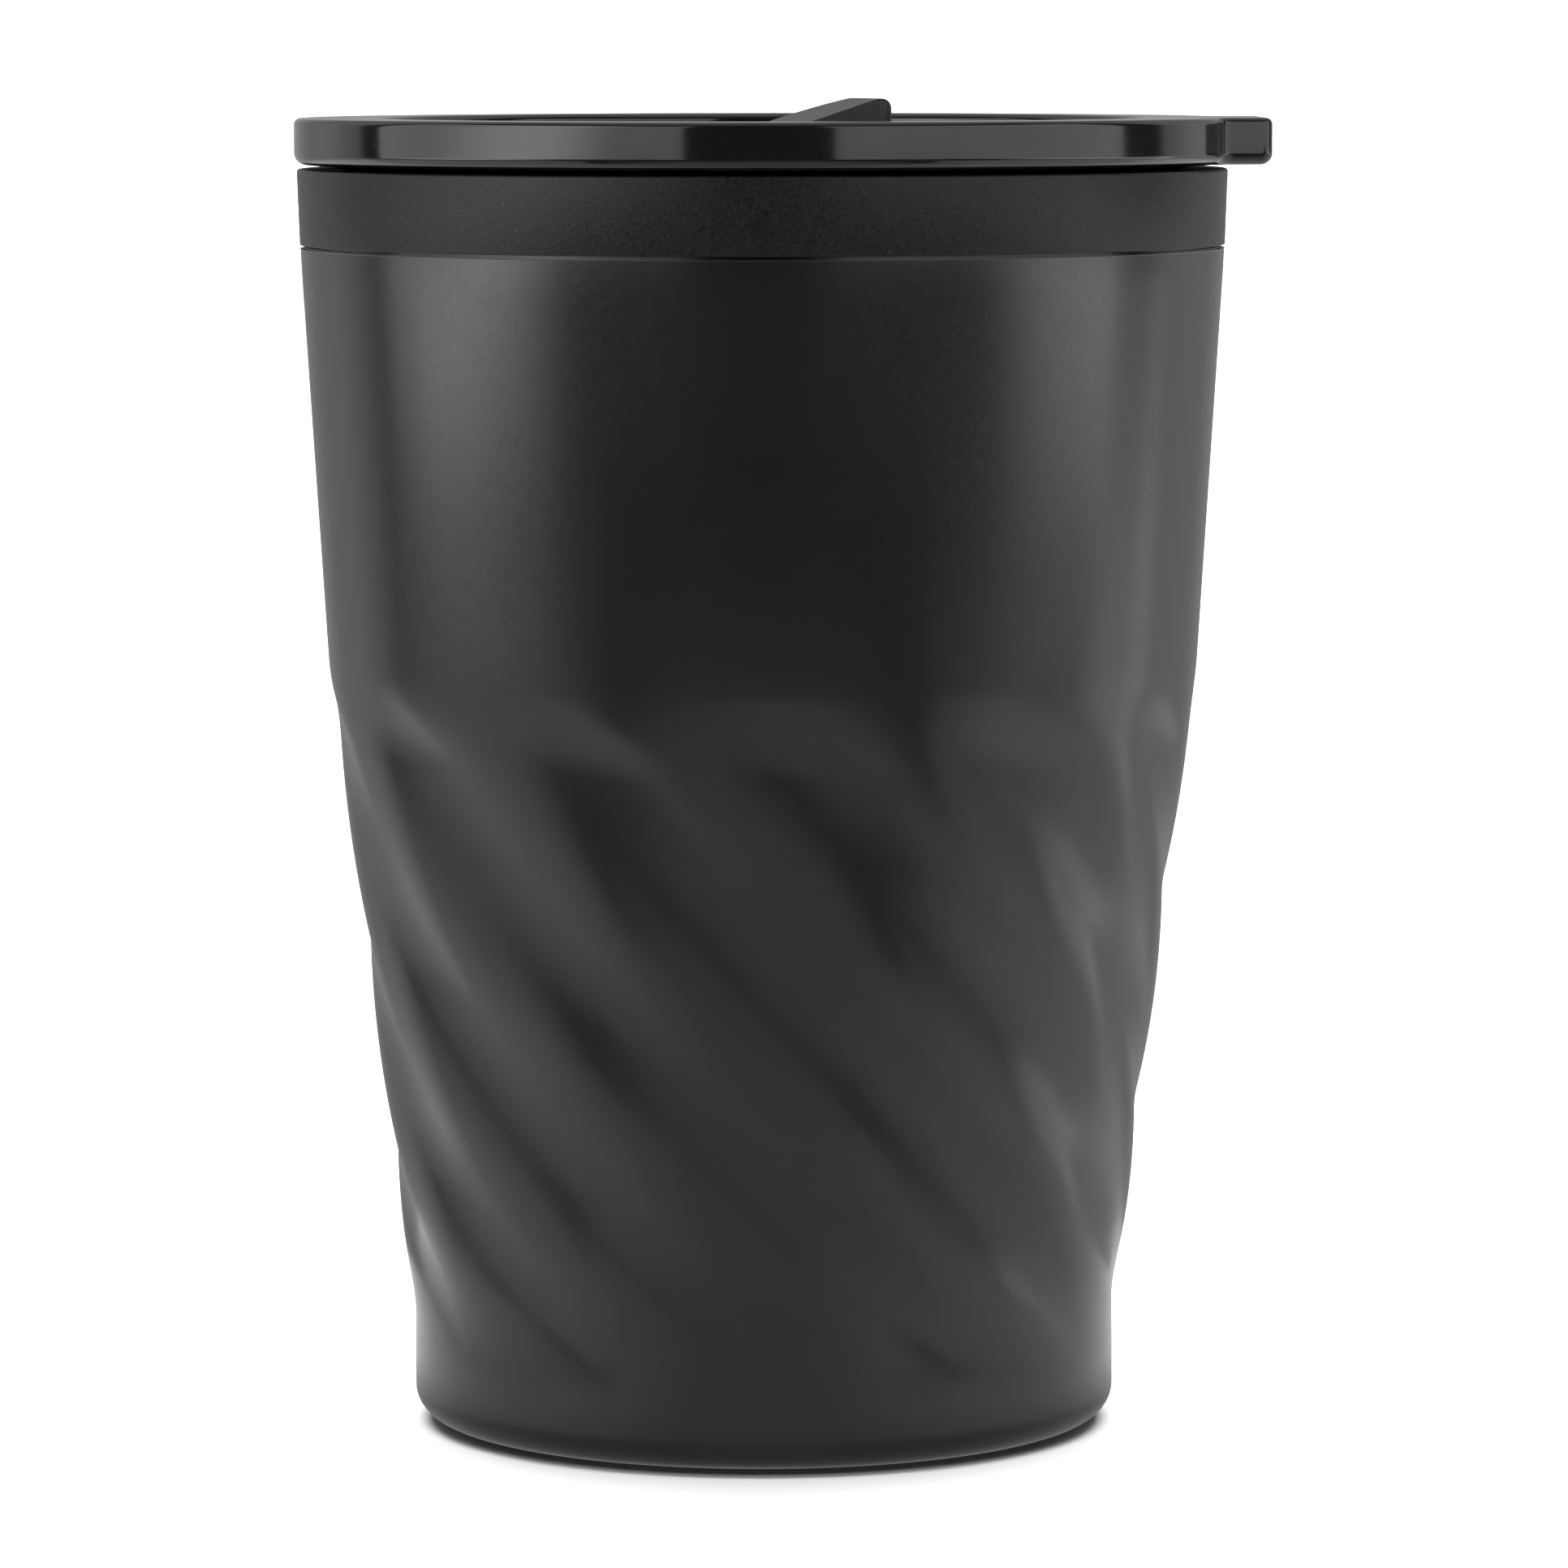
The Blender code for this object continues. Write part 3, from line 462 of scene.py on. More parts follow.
def make_liner():
    """The drawn steel cup inside, with a lip turned out over the shell's top edge."""
    top = LINER_HIGH.z
    outer_mouth = LINER_MOUTH_R + LINER_WALL
    corner = (LINER_FOOT_R - LINER_CORNER_R, LINER_FLOOR_Z + LINER_CORNER_R)
    profile = [(0.0, LINER_FLOOR_Z - LINER_WALL)]
    profile += arc(corner, LINER_CORNER_R + LINER_WALL, -math.pi / 2, 0.0, 12)
    profile += [(LINER_WAIST_R + LINER_WALL, WAIST_Z), (outer_mouth, LINER_NECK_Z)]
    profile += [(outer_mouth, top - LINER_WALL), (NECK_R, top - LINER_WALL), (NECK_R, top)]
    lip = (LINER_MOUTH_R + LINER_LIP_ROUND, top - LINER_LIP_ROUND)
    profile += arc(lip, LINER_LIP_ROUND, math.pi / 2, math.pi, 6)
    profile += [(LINER_MOUTH_R, LINER_NECK_Z), (LINER_WAIST_R, WAIST_Z)]
    profile += arc(corner, LINER_CORNER_R, 0.0, -math.pi / 2, 12)
    profile += [(0.0, LINER_FLOOR_Z)]
    return place("steel_liner", turned("steel_liner", profile))


def make_collar():
    """The matte ring that snaps over the steel mouth, with rounded edges."""
    foot, top = COLLAR_LOW.z, COLLAR_HIGH.z
    lip_foot = top - COLLAR_LIP
    high, low = COLLAR_TOP_ROUND, COLLAR_FOOT_ROUND
    profile = [(COLLAR_BORE_R, foot), (COLLAR_BORE_R, lip_foot), (LINER_MOUTH_R, lip_foot)]
    profile += arc((LINER_MOUTH_R + high, top - high), high, math.pi, math.pi / 2, 5)
    profile += arc((COLLAR_TOP_R - high, top - high), high, math.pi / 2, 0.0, 5)
    profile += arc((COLLAR_FOOT_R - low, foot + low), low, 0.0, -math.pi / 2, 4)
    return place("collar_ring", turned("collar_ring", profile))


def make_pad():
    """The silicone foot, with shallow rings pressed into its underside."""
    profile = [(0.0, PAD_HEIGHT), (PAD_R - PAD_EDGE / 2, PAD_HEIGHT)]
    profile += arc((PAD_R - PAD_EDGE, PAD_EDGE), PAD_EDGE, 0.0, -math.pi / 2, 6)
    for i in range(PAD_RING_COUNT):
        outer = PAD_R - PAD_RING_PITCH * (i + 1)
        inner = outer - PAD_RING_WIDTH
        slope = PAD_RING_DEPTH / 2
        profile += [(outer, 0.0), (outer - slope, PAD_RING_DEPTH)]
        profile += [(inner + slope, PAD_RING_DEPTH), (inner, 0.0)]
    profile += [(0.0, 0.0)]
    return place("foot_pad", turned("foot_pad", profile))


# Lid


def lid_outline():
    """The lid disc's plan: a circle with the lift tab on +X, which narrows outwards."""
    across, out = math.sin(TAB_TAPER), math.cos(TAB_TAPER)
    side = across * math.sqrt(LID_R**2 - TAB_HALF_WIDTH**2) + out * TAB_HALF_WIDTH
    along = math.sqrt((LID_R + TAB_ROOT_R) ** 2 - (side + TAB_ROOT_R) ** 2)
    root_x = across * (side + TAB_ROOT_R) + out * along
    root_y = out * (side + TAB_ROOT_R) - across * along
    root_angle = math.atan2(root_y, root_x)
    corner_x = TAB_REACH - TAB_CORNER_R
    corner_y = (side - TAB_CORNER_R - across * corner_x) / out
    straight = math.pi / 2 - TAB_TAPER
    half = arc((root_x, root_y), TAB_ROOT_R, straight - math.pi, root_angle - math.pi, 10)
    half = arc((corner_x, corner_y), TAB_CORNER_R, 0.0, straight, 10) + half
    body = arc((0.0, 0.0), LID_R, root_angle, 2 * math.pi - root_angle, ROUND)[1:-1]
    mirrored = [(x, -y) for x, y in half[::-1]]
    return half + body + mirrored


def make_lid():
    """The gloss disc with its tab, recess, spigot, hub, sip slot, seal groove and vent; its top and foot
    edges and the recess rim are rounded finely.
    """
    bm = bmesh.new()
    bm.from_mesh(prism("lid", lid_outline(), LID_SEAT_Z, RIM_Z))
    for height, width in ((RIM_Z, LID_TOP_EDGE), (LID_SEAT_Z, LID_FOOT_EDGE)):
        chosen = [e for e in bm.edges if all(abs(v.co.z - height) < MERGE for v in e.verts)]
        bmesh.ops.bevel(bm, geom=chosen, offset=width, segments=6, profile=0.5, affect="EDGES")
    lid = place("gloss_lid", mesh_of(bm, "gloss_lid"))
    overlap = LID_SEAT_Z + SPIGOT_OVERLAP
    spigot = [(0.0, overlap), (SPIGOT_R, overlap), (SPIGOT_R, SPIGOT_FOOT_Z), (HUB_R, SPIGOT_FOOT_Z)]
    spigot += [(HUB_R, HUB_FOOT_Z), (0.0, HUB_FOOT_Z)]
    boolean(lid, "UNION", turned("spigot", spigot))
    above = RIM_Z + MM
    recess = [(0.0, above), (RECESS_R + RECESS_RIM_ROUND, above)]
    rim = (RECESS_R + RECESS_RIM_ROUND, RIM_Z - RECESS_RIM_ROUND)
    recess += arc(rim, RECESS_RIM_ROUND, math.pi / 2, math.pi, 8)
    recess += [(RECESS_R, RECESS_FLOOR_Z), (0.0, RECESS_FLOOR_Z)]
    boolean(lid, "DIFFERENCE", turned("recess", recess))
    boolean(lid, "DIFFERENCE", rod(HUB_BORE_R, HUB_FOOT_Z - MM, above))
    boolean(lid, "DIFFERENCE", rod(HUB_SEAT_R, HUB_SEAT_Z, above))
    boolean(lid, "DIFFERENCE", rod(VENT_R, SPIGOT_FOOT_Z - MM, above, VENT_REACH))
    slot = kidney_outline(SLOT_INNER_R, SLOT_OUTER_R, SLOT_HALF_ANGLE, SLOT_AZIMUTH)
    boolean(lid, "DIFFERENCE", prism("slot", slot, SPIGOT_FOOT_Z - MM, above))
    margin = SEAL_GROOVE_MARGIN
    groove = kidney_outline(SLOT_INNER_R - margin, SLOT_OUTER_R + margin, SLOT_HALF_ANGLE, SLOT_AZIMUTH)
    boolean(lid, "DIFFERENCE", prism("groove", groove, RECESS_FLOOR_Z - SEAL_GROOVE_DEPTH, above))
    even_normals(lid)
    return lid


def grip_outline():
    """The wedge grip's side view, from the foot of its end up, over the rounded tip and down the ramp."""
    top = ROTOR_HIGH.z - ROTOR_FOOT_Z
    floor = 0.5 * ROTOR_THICKNESS
    pitch = math.atan(GRIP_SLOPE)
    tip = (GRIP_REACH - GRIP_TIP_R, top - GRIP_TIP_R)
    ramp_x, ramp_z = arc(tip, GRIP_TIP_R, 0.0, math.pi / 2 + pitch, 12)[-1]
    ramp_run = (ramp_z - floor) / GRIP_SLOPE
    points = [(GRIP_REACH + MM, floor), (GRIP_REACH + MM, tip[1])]
    points += arc(tip, GRIP_TIP_R, 0.0, math.pi / 2 + pitch, 12)
    points += [(ramp_x - ramp_run, floor)]
    return points


def grip_plan():
    """The grip seen from above: a flat pushing side with a small corner, and a widely curved back."""
    half = GRIP_WIDTH / 2
    corner = (GRIP_REACH - GRIP_CORNER_R, GRIP_CORNER_R - half)
    back = (GRIP_REACH - GRIP_BACK_R, half - GRIP_BACK_R)
    points = arc(corner, GRIP_CORNER_R, -math.pi / 2, 0.0, 12)
    points += arc(back, GRIP_BACK_R, 0.0, math.pi / 2, 32)
    return points + [(-half, half), (-half, -half)]


def make_grip():
    """The wedge: its side view pushed across the cup, kept inside its plan, with softened edges."""
    half = GRIP_WIDTH / 2 + MM
    side_view = [(x, half, z) for x, z in grip_outline()]
    grip = place("grip", pushed("grip", side_view, (0.0, -2 * half, 0.0)))
    boolean(grip, "INTERSECT", prism("plan", grip_plan(), 0.0, 2 * (ROTOR_HIGH.z - ROTOR_FOOT_Z)))
    bevel = grip.modifiers.new("Edges", "BEVEL")
    bevel.width = GRIP_EDGE
    bevel.segments = 4
    bevel.limit_method = "ANGLE"
    bevel.angle_limit = GRIP_EDGE_ANGLE
    bake(grip)
    return grip


def sharpen_seams(mesh, height):
    """Marks the edges sharp where the grip leaves the disc's flat top, so that the flat shades as flat."""
    bm = bmesh.new()
    bm.from_mesh(mesh)
    for edge in bm.edges:
        on_top = all(abs(v.co.z - height) < MERGE for v in edge.verts)
        near = all(v.co.to_2d().length < 2 * GRIP_REACH for v in edge.verts)
        if on_top and near and edge.calc_face_angle(0.0) > SEAM_ANGLE:
            edge.smooth = False
    bm.to_mesh(mesh)
    bm.free()


def make_closure():
    """The turning disc with its wedge grip, stem, aperture and vent."""
    top = ROTOR_THICKNESS
    stem_foot = ROTOR_LOW.z - ROTOR_FOOT_Z
    profile = [(0.0, top)]
    profile += arc((ROTOR_R - ROTOR_EDGE, top - ROTOR_EDGE), ROTOR_EDGE, math.pi / 2, 0.0, 5)
    profile += [(ROTOR_R, 0.0), (STEM_R, 0.0), (STEM_R, stem_foot), (0.0, stem_foot)]
    rotor = place("closure_disc", turned("closure_disc", profile))
    boolean(rotor, "UNION", make_grip())
    swing = CLOSURE_OPEN_TURN + CLOSURE_REST
    aperture = kidney_outline(SLOT_INNER_R, SLOT_OUTER_R, SLOT_HALF_ANGLE, SLOT_AZIMUTH - swing)
    boolean(rotor, "DIFFERENCE", prism("aperture", aperture, -MM, top + MM))
    vent_x, vent_y = VENT_REACH * math.cos(-swing), VENT_REACH * math.sin(-swing)
    boolean(rotor, "DIFFERENCE", rod(VENT_R, -MM, top + MM, vent_x, vent_y))
    boolean(rotor, "DIFFERENCE", rod(STEM_HOLE_R, stem_foot - MM, top))
    rotor.location.z = ROTOR_FOOT_Z
    rotor.rotation_euler.z = CLOSURE_REST
    rotor.data.shade_smooth()
    rotor.data.set_sharp_from_angle(angle=SHARP_ANGLE)
    sharpen_seams(rotor.data, top)
    even_normals(rotor)
    return rotor


# Materials


def math_node(tree, operation, *values):
    """The result of a Math node over sockets and plain numbers."""
    node = tree.nodes.new("ShaderNodeMath")
    node.operation = operation
    for socket, value in zip(node.inputs, values):
        if isinstance(value, float):
            socket.default_value = value
        else:
            tree.links.new(value, socket)
    return node.outputs["Value"]


class Look:
    """A Principled material with helpers for its patterns, which are placed in metres on the object."""

    def __init__(self, name, colour, roughness, metallic=0.0):
        self.made = bpy.data.materials.new(name)
        self.made.use_nodes = True
        self.nodes = self.made.node_tree.nodes
        self.links = self.made.node_tree.links
        self.shader = self.nodes["Principled BSDF"]
        self.shader.inputs["Base Color"].default_value = (*colour, 1.0)
        self.shader.inputs["Roughness"].default_value = roughness
        self.shader.inputs["Metallic"].default_value = metallic
        self.place = self.nodes.new("ShaderNodeTexCoord").outputs["Object"]
        self.bump_chain = None

    def set(self, socket, value):
        """An even value of the shader."""
        self.shader.inputs[socket].default_value = value

    def math(self, operation, *values):
        return math_node(self.made.node_tree, operation, *values)

    def stretched(self, x, y, z):
        """The place, scaled along each axis."""
        node = self.nodes.new("ShaderNodeMapping")
        node.inputs["Scale"].default_value = (x, y, z)
        self.links.new(self.place, node.inputs["Vector"])
        return node.outputs["Vector"]

    def noise(self, size, detail=2.0, where=None, roughness=0.5):
        """Noise with features of about that size."""
        node = self.nodes.new("ShaderNodeTexNoise")
        node.inputs["Scale"].default_value = 1.0 / size
        node.inputs["Detail"].default_value = detail
        node.inputs["Roughness"].default_value = roughness
        self.links.new(where or self.place, node.inputs["Vector"])
        return node.outputs["Fac"]

    def span(self, value, low, high, start=0.0, end=1.0):
        """The value's stretch from low to high, mapped to start to end and held beyond them."""
        node = self.nodes.new("ShaderNodeMapRange")
        for socket, number in zip(("From Min", "From Max", "To Min", "To Max"), (low, high, start, end)):
            node.inputs[socket].default_value = number
        self.links.new(value, node.inputs["Value"])
        return node.outputs["Result"]

    def tint(self, factor, low, high):
        """Base colour between two colours."""
        node = self.nodes.new("ShaderNodeMix")
        node.data_type = "RGBA"
        node.inputs[6].default_value = (*low, 1.0)
        node.inputs[7].default_value = (*high, 1.0)
        self.links.new(factor, node.inputs["Factor"])
        self.links.new(node.outputs[2], self.shader.inputs["Base Color"])

    def rough(self, value, more=None):
        """Roughness from one value, or from the sum of two."""
        total = value if more is None else self.math("ADD", value, more)
        self.links.new(total, self.shader.inputs["Roughness"])

    def bump(self, height, distance):
        """Adds a relief of that height in metres to the surface."""
        node = self.nodes.new("ShaderNodeBump")
        node.inputs["Distance"].default_value = distance
        self.links.new(height, node.inputs["Height"])
        if self.bump_chain:
            self.links.new(self.bump_chain, node.inputs["Normal"])
        self.bump_chain = node.outputs["Normal"]
        self.links.new(self.bump_chain, self.shader.inputs["Normal"])


def coat_look():
    """Satin black lacquer over steel: a fine even grain over slight clouding and waves."""
    look = Look("satin_black_coat", (0.005, 0.005, 0.0052), 0.22)
    clouds = look.span(look.noise(18 * MM), 0.35, 0.65)
    look.tint(clouds, (0.0044, 0.0044, 0.0046), (0.0058, 0.0058, 0.0060))
    grain = look.noise(0.5 * MM, 3.0)
    wear = look.span(look.noise(30 * MM), 0.3, 0.7, 0.19, 0.23)
    look.rough(look.span(grain, 0.3, 0.7, 0.0, 0.04), wear)
    look.bump(grain, 0.003 * MM)
    look.bump(look.noise(2.5 * MM, 1.0), 0.006 * MM)
    return look.made


def collar_look():
    """Matte moulded plastic: spark-eroded grain with pale specks."""
    look = Look("matte_black_plastic", (0.006, 0.006, 0.006), 0.32)
    look.set("Specular IOR Level", 0.2)
    grain = look.noise(0.28 * MM, 4.0, roughness=0.65)
    specks = look.span(look.noise(0.7 * MM, 1.0), 0.76, 0.8)
    pale = look.math("ADD", look.span(grain, 0.35, 0.7, 0.0, 0.45), specks)
    look.tint(pale, (0.0032, 0.0032, 0.0032), (0.022, 0.022, 0.022))
    look.rough(look.span(grain, 0.3, 0.7, 0.26, 0.38))
    look.bump(grain, 0.03 * MM)
    return look.made


def lid_look():
    """Gloss black plastic: barely uneven, with fine handling marks in its gloss."""
    look = Look("gloss_black_plastic", (0.003, 0.003, 0.003), 0.09)
    marks = look.noise(1.0 * MM, 5.0, look.stretched(1.0, 1.0, 6.0), 0.7)
    wear = look.span(look.noise(14 * MM), 0.3, 0.7, 0.07, 0.11)
    look.rough(look.span(marks, 0.45, 0.75, 0.0, 0.07), wear)
    look.tint(look.noise(9 * MM), (0.0026, 0.0026, 0.0026), (0.0040, 0.0040, 0.0042))
    look.bump(look.noise(7 * MM, 1.0), 0.012 * MM)
    look.bump(marks, 0.001 * MM)
    return look.made


def closure_look():
    """Satin moulded plastic with a fine grain."""
    look = Look("satin_black_plastic", (0.007, 0.007, 0.007), 0.33)
    look.set("Specular IOR Level", 0.4)
    grain = look.noise(0.3 * MM, 3.0)
    look.tint(grain, (0.005, 0.005, 0.005), (0.011, 0.011, 0.011))
    look.rough(look.span(grain, 0.3, 0.7, 0.28, 0.4))
    look.bump(grain, 0.015 * MM)
    return look.made


def insert_look():
    """Plain moulded plastic under the lid: smooth, with faint flow marks."""
    look = Look("insert_black_plastic", (0.02, 0.02, 0.02), 0.35)
    flow = look.noise(5 * MM, 3.0, look.stretched(1.0, 3.0, 0.5))
    look.tint(flow, (0.016, 0.016, 0.016), (0.025, 0.025, 0.026))
    look.rough(look.span(flow, 0.3, 0.7, 0.28, 0.42))
    look.bump(look.noise(0.6 * MM, 3.0), 0.006 * MM)
    return look.made


def steel_look():
    """Spun stainless steel: fine lines that run round the cup, in its shade and its gloss."""
    look = Look("spun_steel", (0.56, 0.555, 0.55), 0.28, 1.0)
    split = look.nodes.new("ShaderNodeSeparateXYZ")
    look.links.new(look.place, split.inputs["Vector"])
    squares = [look.math("MULTIPLY", split.outputs[axis], split.outputs[axis]) for axis in "XY"]
    radius = look.math("SQRT", look.math("ADD", *squares))
    section = look.nodes.new("ShaderNodeCombineXYZ")
    for source, socket in ((radius, "X"), (split.outputs["Z"], "Y")):
        look.links.new(look.math("MULTIPLY", source, 1.0 / STEEL_LINE), section.inputs[socket])
    noise = look.nodes.new("ShaderNodeTexNoise")
    noise.noise_dimensions = "2D"
    noise.inputs["Scale"].default_value = 1.0
    noise.inputs["Detail"].default_value = 2.0
    look.links.new(section.outputs["Vector"], noise.inputs["Vector"])
    lines = noise.outputs["Fac"]
    look.tint(look.span(lines, 0.3, 0.7), (0.5, 0.495, 0.49), (0.6, 0.595, 0.59))
    wear = look.span(look.noise(12 * MM), 0.3, 0.7, 0.2, 0.28)
    look.rough(look.span(lines, 0.3, 0.7, 0.0, 0.12), wear)
    look.bump(lines, 0.004 * MM)
    return look.made


def silicone_look():
    """Dark silicone rubber: soft sheen, faint bloom and dust."""
    look = Look("dark_silicone", (0.035, 0.035, 0.036), 0.6)
    bloom = look.noise(3 * MM, 4.0)
    look.tint(look.span(bloom, 0.35, 0.75), (0.028, 0.028, 0.029), (0.05, 0.05, 0.051))
    look.rough(look.span(bloom, 0.3, 0.7, 0.52, 0.68))
    look.bump(look.noise(0.25 * MM, 2.0), 0.012 * MM)
    return look.made


def solder_look():
    """Grey sealing glass, slightly crazed."""
    look = Look("solder_glass", (0.3, 0.3, 0.28), 0.25)
    crazing = look.noise(0.6 * MM, 4.0)
    look.tint(crazing, (0.22, 0.22, 0.2), (0.36, 0.36, 0.34))
    look.rough(look.span(crazing, 0.3, 0.7, 0.2, 0.4))
    look.bump(crazing, 0.02 * MM)
    return look.made


def getter_look():
    """Sintered metal pill: open, grainy and dull."""
    look = Look("getter_metal", (0.25, 0.25, 0.26), 0.6, 1.0)
    grain = look.noise(0.2 * MM, 4.0)
    look.tint(grain, (0.17, 0.17, 0.18), (0.32, 0.32, 0.33))
    look.rough(look.span(grain, 0.3, 0.7, 0.5, 0.75))
    look.bump(grain, 0.05 * MM)
    return look.made


def floor_look():
    """Pale seamless paper."""
    look = Look("pale_paper", (0.86, 0.86, 0.86), 0.9)
    look.tint(look.noise(60 * MM, 3.0), (0.85, 0.85, 0.85), (0.87, 0.87, 0.87))
    look.set("Specular IOR Level", 0.0)
    return look.made


def coat_nodes(looks):
    """Gives each CAD node that stays the finish of its slot in the record."""
    for entry in frame["record"]["subparts"]:
        node = frame["nodes"][entry["node"]]
        node.data.materials.clear()
        node.data.materials.append(looks[entry["material_slot"]])


def add_piece(piece, finish, body, slot, *nodes):
    """Dresses a fine piece, lets it ride and puts it in place of its CAD nodes."""
    piece.data.materials.clear()
    piece.data.materials.append(finish)
    for face in piece.data.polygons:
        face.material_index = 0
    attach(piece, body)
    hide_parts(*nodes)


# Stage


def make_backdrop(finish):
    """The floor, swept up into a wall far behind the object."""
    wall_y = BACKDROP_DISTANCE + BACKDROP_SWEEP_R
    profile = [(-FLOOR_HALF, 0.0)]
    profile += arc((BACKDROP_DISTANCE, BACKDROP_SWEEP_R), BACKDROP_SWEEP_R, -math.pi / 2, 0.0, 24)
    profile += [(wall_y, BACKDROP_HEIGHT)]
    rows = [[(x, y, z) for x in (-FLOOR_HALF, FLOOR_HALF)] for y, z in profile]
    backdrop = place("backdrop", sheet("backdrop", rows))
    backdrop.data.materials.append(finish)
    backdrop.visible_glossy = False


class Glow:
    """Light whose strength depends on where it comes from. Azimuth 0 is the camera's side."""

    def __init__(self, tree, place):
        self.tree = tree
        split = tree.nodes.new("ShaderNodeSeparateXYZ")
        tree.links.new(place, split.inputs["Vector"])
        toward = self.math("MULTIPLY", split.outputs["Y"], -1.0)
        turn = self.math("ARCTAN2", split.outputs["X"], toward)
        self.azimuth = self.math("MULTIPLY", turn, 180.0 / math.pi)
        self.side = self.math("ABSOLUTE", self.azimuth)
        self.height = split.outputs["Z"]
        squares = [self.math("MULTIPLY", split.outputs[axis], split.outputs[axis]) for axis in "XY"]
        self.reach = self.math("SQRT", self.math("ADD", *squares))
        self.total = None

    def math(self, operation, *values):
        return math_node(self.tree, operation, *values)

    def step(self, value, low, high):
        """0 at low and 1 at high, smooth between them and held beyond."""
        node = self.tree.nodes.new("ShaderNodeMapRange")
        node.interpolation_type = "SMOOTHSTEP"
        rising = low < high
        node.inputs["From Min"].default_value = min(low, high)
        node.inputs["From Max"].default_value = max(low, high)
        node.inputs["To Min"].default_value = 0.0 if rising else 1.0
        node.inputs["To Max"].default_value = 1.0 if rising else 0.0
        self.tree.links.new(value, node.inputs["Value"])
        return node.outputs["Result"]

    def window(self, value, start, full, fade, end):
        """Rises from start to full, and falls from fade to end."""
        return self.math("MULTIPLY", self.step(value, start, full), self.step(value, end, fade))

    def add(self, strength, *masks):
        """Adds light of that strength where all the masks are 1."""
        part = self.math("MULTIPLY", masks[0], strength)
        for mask in masks[1:]:
            part = self.math("MULTIPLY", part, mask)
        self.total = part if self.total is None else self.math("ADD", self.total, part)

    def light(self, socket, base):
        """Sends the sum and an even base strength to a shader's strength."""
        self.tree.links.new(self.math("ADD", self.total, base), socket)


def glow_look(name):
    """A material that only gives light, and the Glow that says how much."""
    look = Look(name, (0.0, 0.0, 0.0), 1.0)
    look.set("Specular IOR Level", 0.0)
    look.set("Emission Color", (1.0, 1.0, 1.0, 1.0))
    return look, Glow(look.made.node_tree, look.place)


def stage_card(name, mesh, look):
    """Puts up a lit card that shows only in reflections."""
    card = place(name, mesh)
    card.data.materials.append(look.made)
    card.visible_camera = False
    card.visible_diffuse = False
    card.visible_shadow = False


def make_near_table():
    """The lit table that the cup mirrors: a card under the floor, which reaches on towards the camera. Its
    glow is weaker round the cup's foot, a painted shadow of the cup.
    """
    look, light = glow_look("lit_table")
    front = light.step(light.side, *TABLE_FRONT)
    shown = light.math("MAXIMUM", front, light.step(light.reach, *TABLE_ROUND_CUP))
    lit = light.math("MULTIPLY", shown, light.step(light.reach, *TABLE_FAR))
    # Painted shadow of the cup: clear is 0 near the cup's axis and 1 further out, so the glow is weaker round
    # its foot.
    clear = light.step(light.reach, *PAINTED_CUP_SHADOW)
    light.add(TABLE_GLOW, lit)
    light.add(SHADOW_FREE_TABLE_GLOW, lit, clear)
    light.add(TABLE_SIDE_GLOW, lit, clear, light.step(light.side, *TABLE_SIDES))
    light.light(look.shader.inputs["Emission Strength"], ROOM_GLOW)
    spread = math.radians(TABLE_SPREAD)
    ahead = -math.pi / 2
    outline = arc((0.0, 0.0), TABLE_R, ahead - spread, ahead + spread, 48)
    outline += arc((0.0, 0.0), NEAR_TABLE_R, ahead + spread, ahead + 2 * math.pi - spread, 72)
    mesh = prism("near_table", outline, -TABLE_CARD_DEPTH, TABLE_CARD - TABLE_CARD_DEPTH)
    stage_card("near_table", mesh, look)


def area_light(name, place_at, aim, width, height, power):
    """A soft rectangular lamp that lights without showing in reflections."""
    data = bpy.data.lights.new(name, "AREA")
    data.shape = "RECTANGLE"
    data.size = width
    data.size_y = height
    data.energy = power
    lamp = bpy.data.objects.new(name, data)
    bpy.context.scene.collection.objects.link(lamp)
    lamp.location = place_at
    lamp.rotation_mode = "QUATERNION"
    lamp.rotation_quaternion = (Vector(aim) - Vector(place_at)).to_track_quat("-Z", "Y")
    lamp.visible_glossy = False


def make_world():
    """The room's light: pale behind the cup and over it, a pale table below, dark on the camera's side."""
    world = bpy.data.worlds.new("room")
    world.use_nodes = True
    bpy.context.scene.world = world
    tree = world.node_tree
    room = Glow(tree, tree.nodes.new("ShaderNodeTexCoord").outputs["Generated"])
    tilt = room.math("MULTIPLY", room.math("ARCSINE", room.height), 180.0 / math.pi)
    flank = room.window(room.side, *FLANK)
    right = room.window(room.azimuth, *RIGHT)
    room.add(BACK_EDGE_GLOW, room.window(room.side, *BACK_EDGE))
    room.add(BACK_GLOW, room.step(room.side, *BACK))
    room.add(BELOW_GLOW, room.step(tilt, *BELOW))
    room.add(FLANK_EDGE_GLOW, flank, room.window(tilt, *FLANK_EDGE))
    room.add(FLANK_BELOW_GLOW, flank, room.step(tilt, *FLANK_BELOW))
    room.add(RIGHT_EDGE_GLOW, right, room.window(tilt, *RIGHT_EDGE))
    room.add(CEILING_GLOW, room.step(tilt, *CEILING))
    shader = tree.nodes["Background"]
    shader.inputs["Color"].default_value = (1.0, 1.0, 1.0, 1.0)
    room.light(shader.inputs["Strength"], ROOM_GLOW)


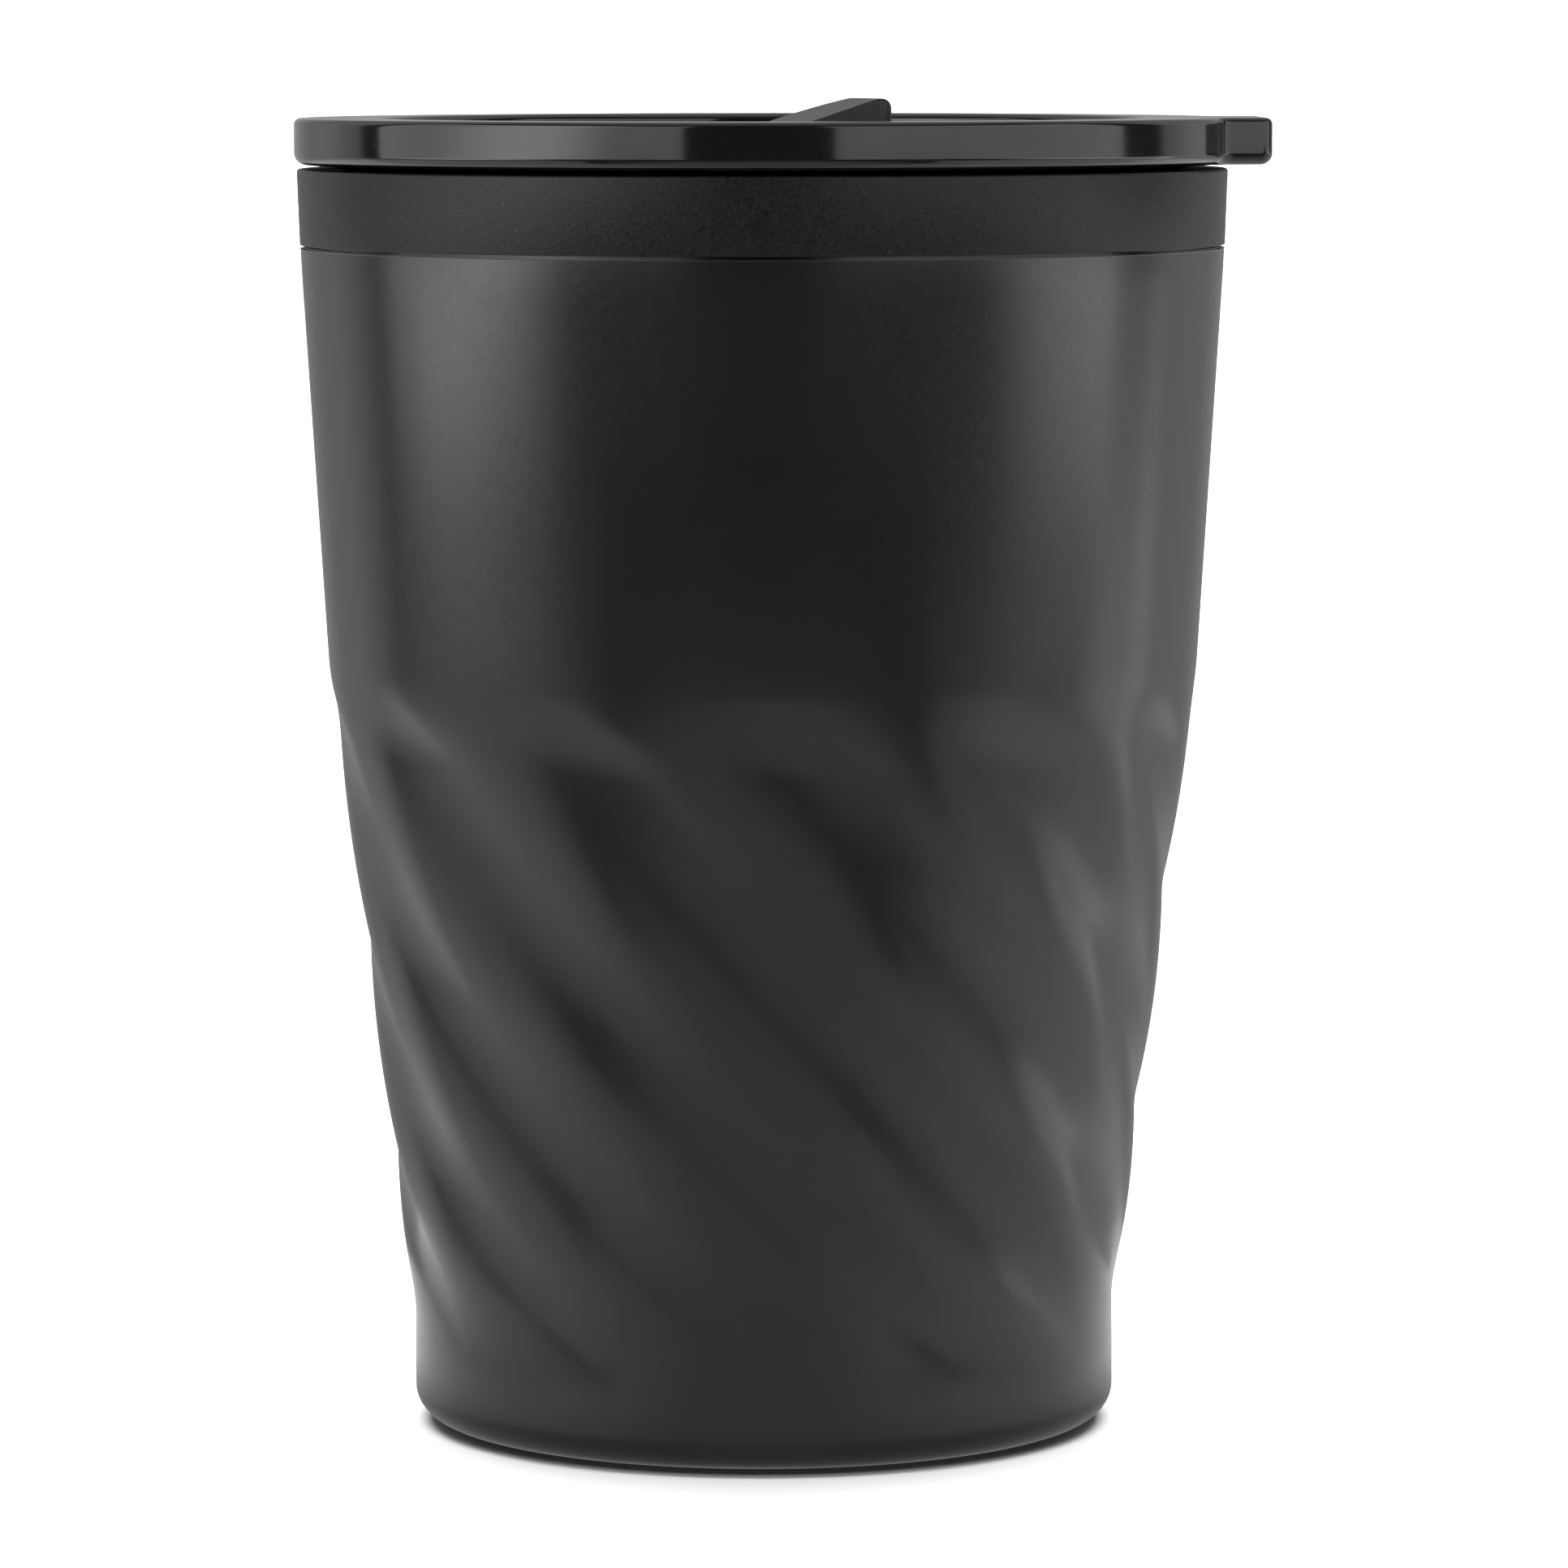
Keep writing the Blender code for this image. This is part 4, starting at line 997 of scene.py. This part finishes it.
def make_box(name, first, last, heart_glow, low_glow, low_sides):
    """A soft box curved about the axis from azimuth first to last, brighter in its heart and low down."""
    angles = [math.radians(first + (last - first) * i / BOX_STEPS) for i in range(BOX_STEPS + 1)]
    rows = [[(BOX_R * math.sin(a), -BOX_R * math.cos(a), z) for a in angles] for z in (BOX_FOOT, BOX_TOP)]
    look, light = glow_look(name)
    short = light.math("MAXIMUM", light.math("SUBTRACT", BOX_FOOT_SIDE, light.side), 0.0)
    foot = light.math("MINIMUM", light.math("MULTIPLY", short, BOX_FOOT_RISE), BOX_FOOT_MOST)
    lit = light.step(light.math("SUBTRACT", light.height, foot), *BOX_FOOT_FADE)
    light.add(BOX_GLOW, lit)
    light.add(heart_glow, lit, light.window(light.azimuth, *BOX_HEART))
    light.add(low_glow, light.window(light.height, *BOX_LOW), light.window(light.side, *low_sides))
    light.light(look.shader.inputs["Emission Strength"], 0.0)
    stage_card(name, sheet(name, rows), look)


def make_studio():
    """Lights the object as two tall soft boxes beside it, a pale backdrop and a pale table would."""
    make_world()
    make_box("left_box", -102.5, -18.0, heart_glow=2.2, low_glow=3.0, low_sides=(44.0, 62.0, 84.0, 100.0))
    make_box("right_box", 16.8, 94.5, heart_glow=0.0, low_glow=2.6, low_sides=(54.0, 72.0, 92.0, 104.0))
    area_light("overhead", (0.0, 0.5, 1.8), aim=(0.0, 0.3, 0.0), width=2.4, height=2.4, power=110.0)
    area_light("front_fill", (0.0, -1.6, 1.6), aim=(0.0, 0.0, 0.0), width=1.6, height=1.0, power=14.0)


def make_camera():
    """The camera straight in front of the cup, a little above its lid, rolled a touch."""
    data = bpy.data.cameras.new("camera")
    camera = bpy.data.objects.new("camera", data)
    bpy.context.scene.collection.objects.link(camera)
    eye = Vector((AXIS_OFFSET, -VIEW_DISTANCE, EYE_HEIGHT))
    line = Vector((AXIS_OFFSET, 0.0, AIM_HEIGHT)) - eye
    camera.location = eye
    camera.rotation_mode = "QUATERNION"
    camera.rotation_quaternion = line.to_track_quat("-Z", "Y") @ Quaternion((0.0, 0.0, 1.0), CAMERA_ROLL)
    data.sensor_width = SENSOR_WIDTH
    data.lens = SENSOR_WIDTH * line.length / VIEW_WIDTH
    data.clip_start = CLIP_NEAR
    data.clip_end = CLIP_FAR
    bpy.context.scene.camera = camera


# The scene


looks = {
    "shell_coat": coat_look(),
    "plain_steel": steel_look(),
    "solder": solder_look(),
    "getter_metal": getter_look(),
    "silicone": silicone_look(),
    "collar_plastic": collar_look(),
    "lid_gloss": lid_look(),
    "insert_plastic": insert_look(),
    "closure_plastic": closure_look(),
}
coat_nodes(looks)
add_piece(make_shell(), looks["shell_coat"], "cup", "shell_coat", "outer_shell")
add_piece(make_liner(), looks["plain_steel"], "cup", "plain_steel", "inner_liner")
add_piece(make_collar(), looks["collar_plastic"], "cup", "collar_plastic", "rim_collar")
add_piece(make_pad(), looks["silicone"], "cup", "silicone", "base_pad")
add_piece(make_lid(), looks["lid_gloss"], "lid", "lid_gloss", "lid_disc")
add_piece(make_closure(), looks["closure_plastic"], "closure", "closure_plastic", "closure_rotor")
make_backdrop(floor_look())
make_near_table()
make_studio()
make_camera()
bpy.context.scene.view_settings.view_transform = "Standard"
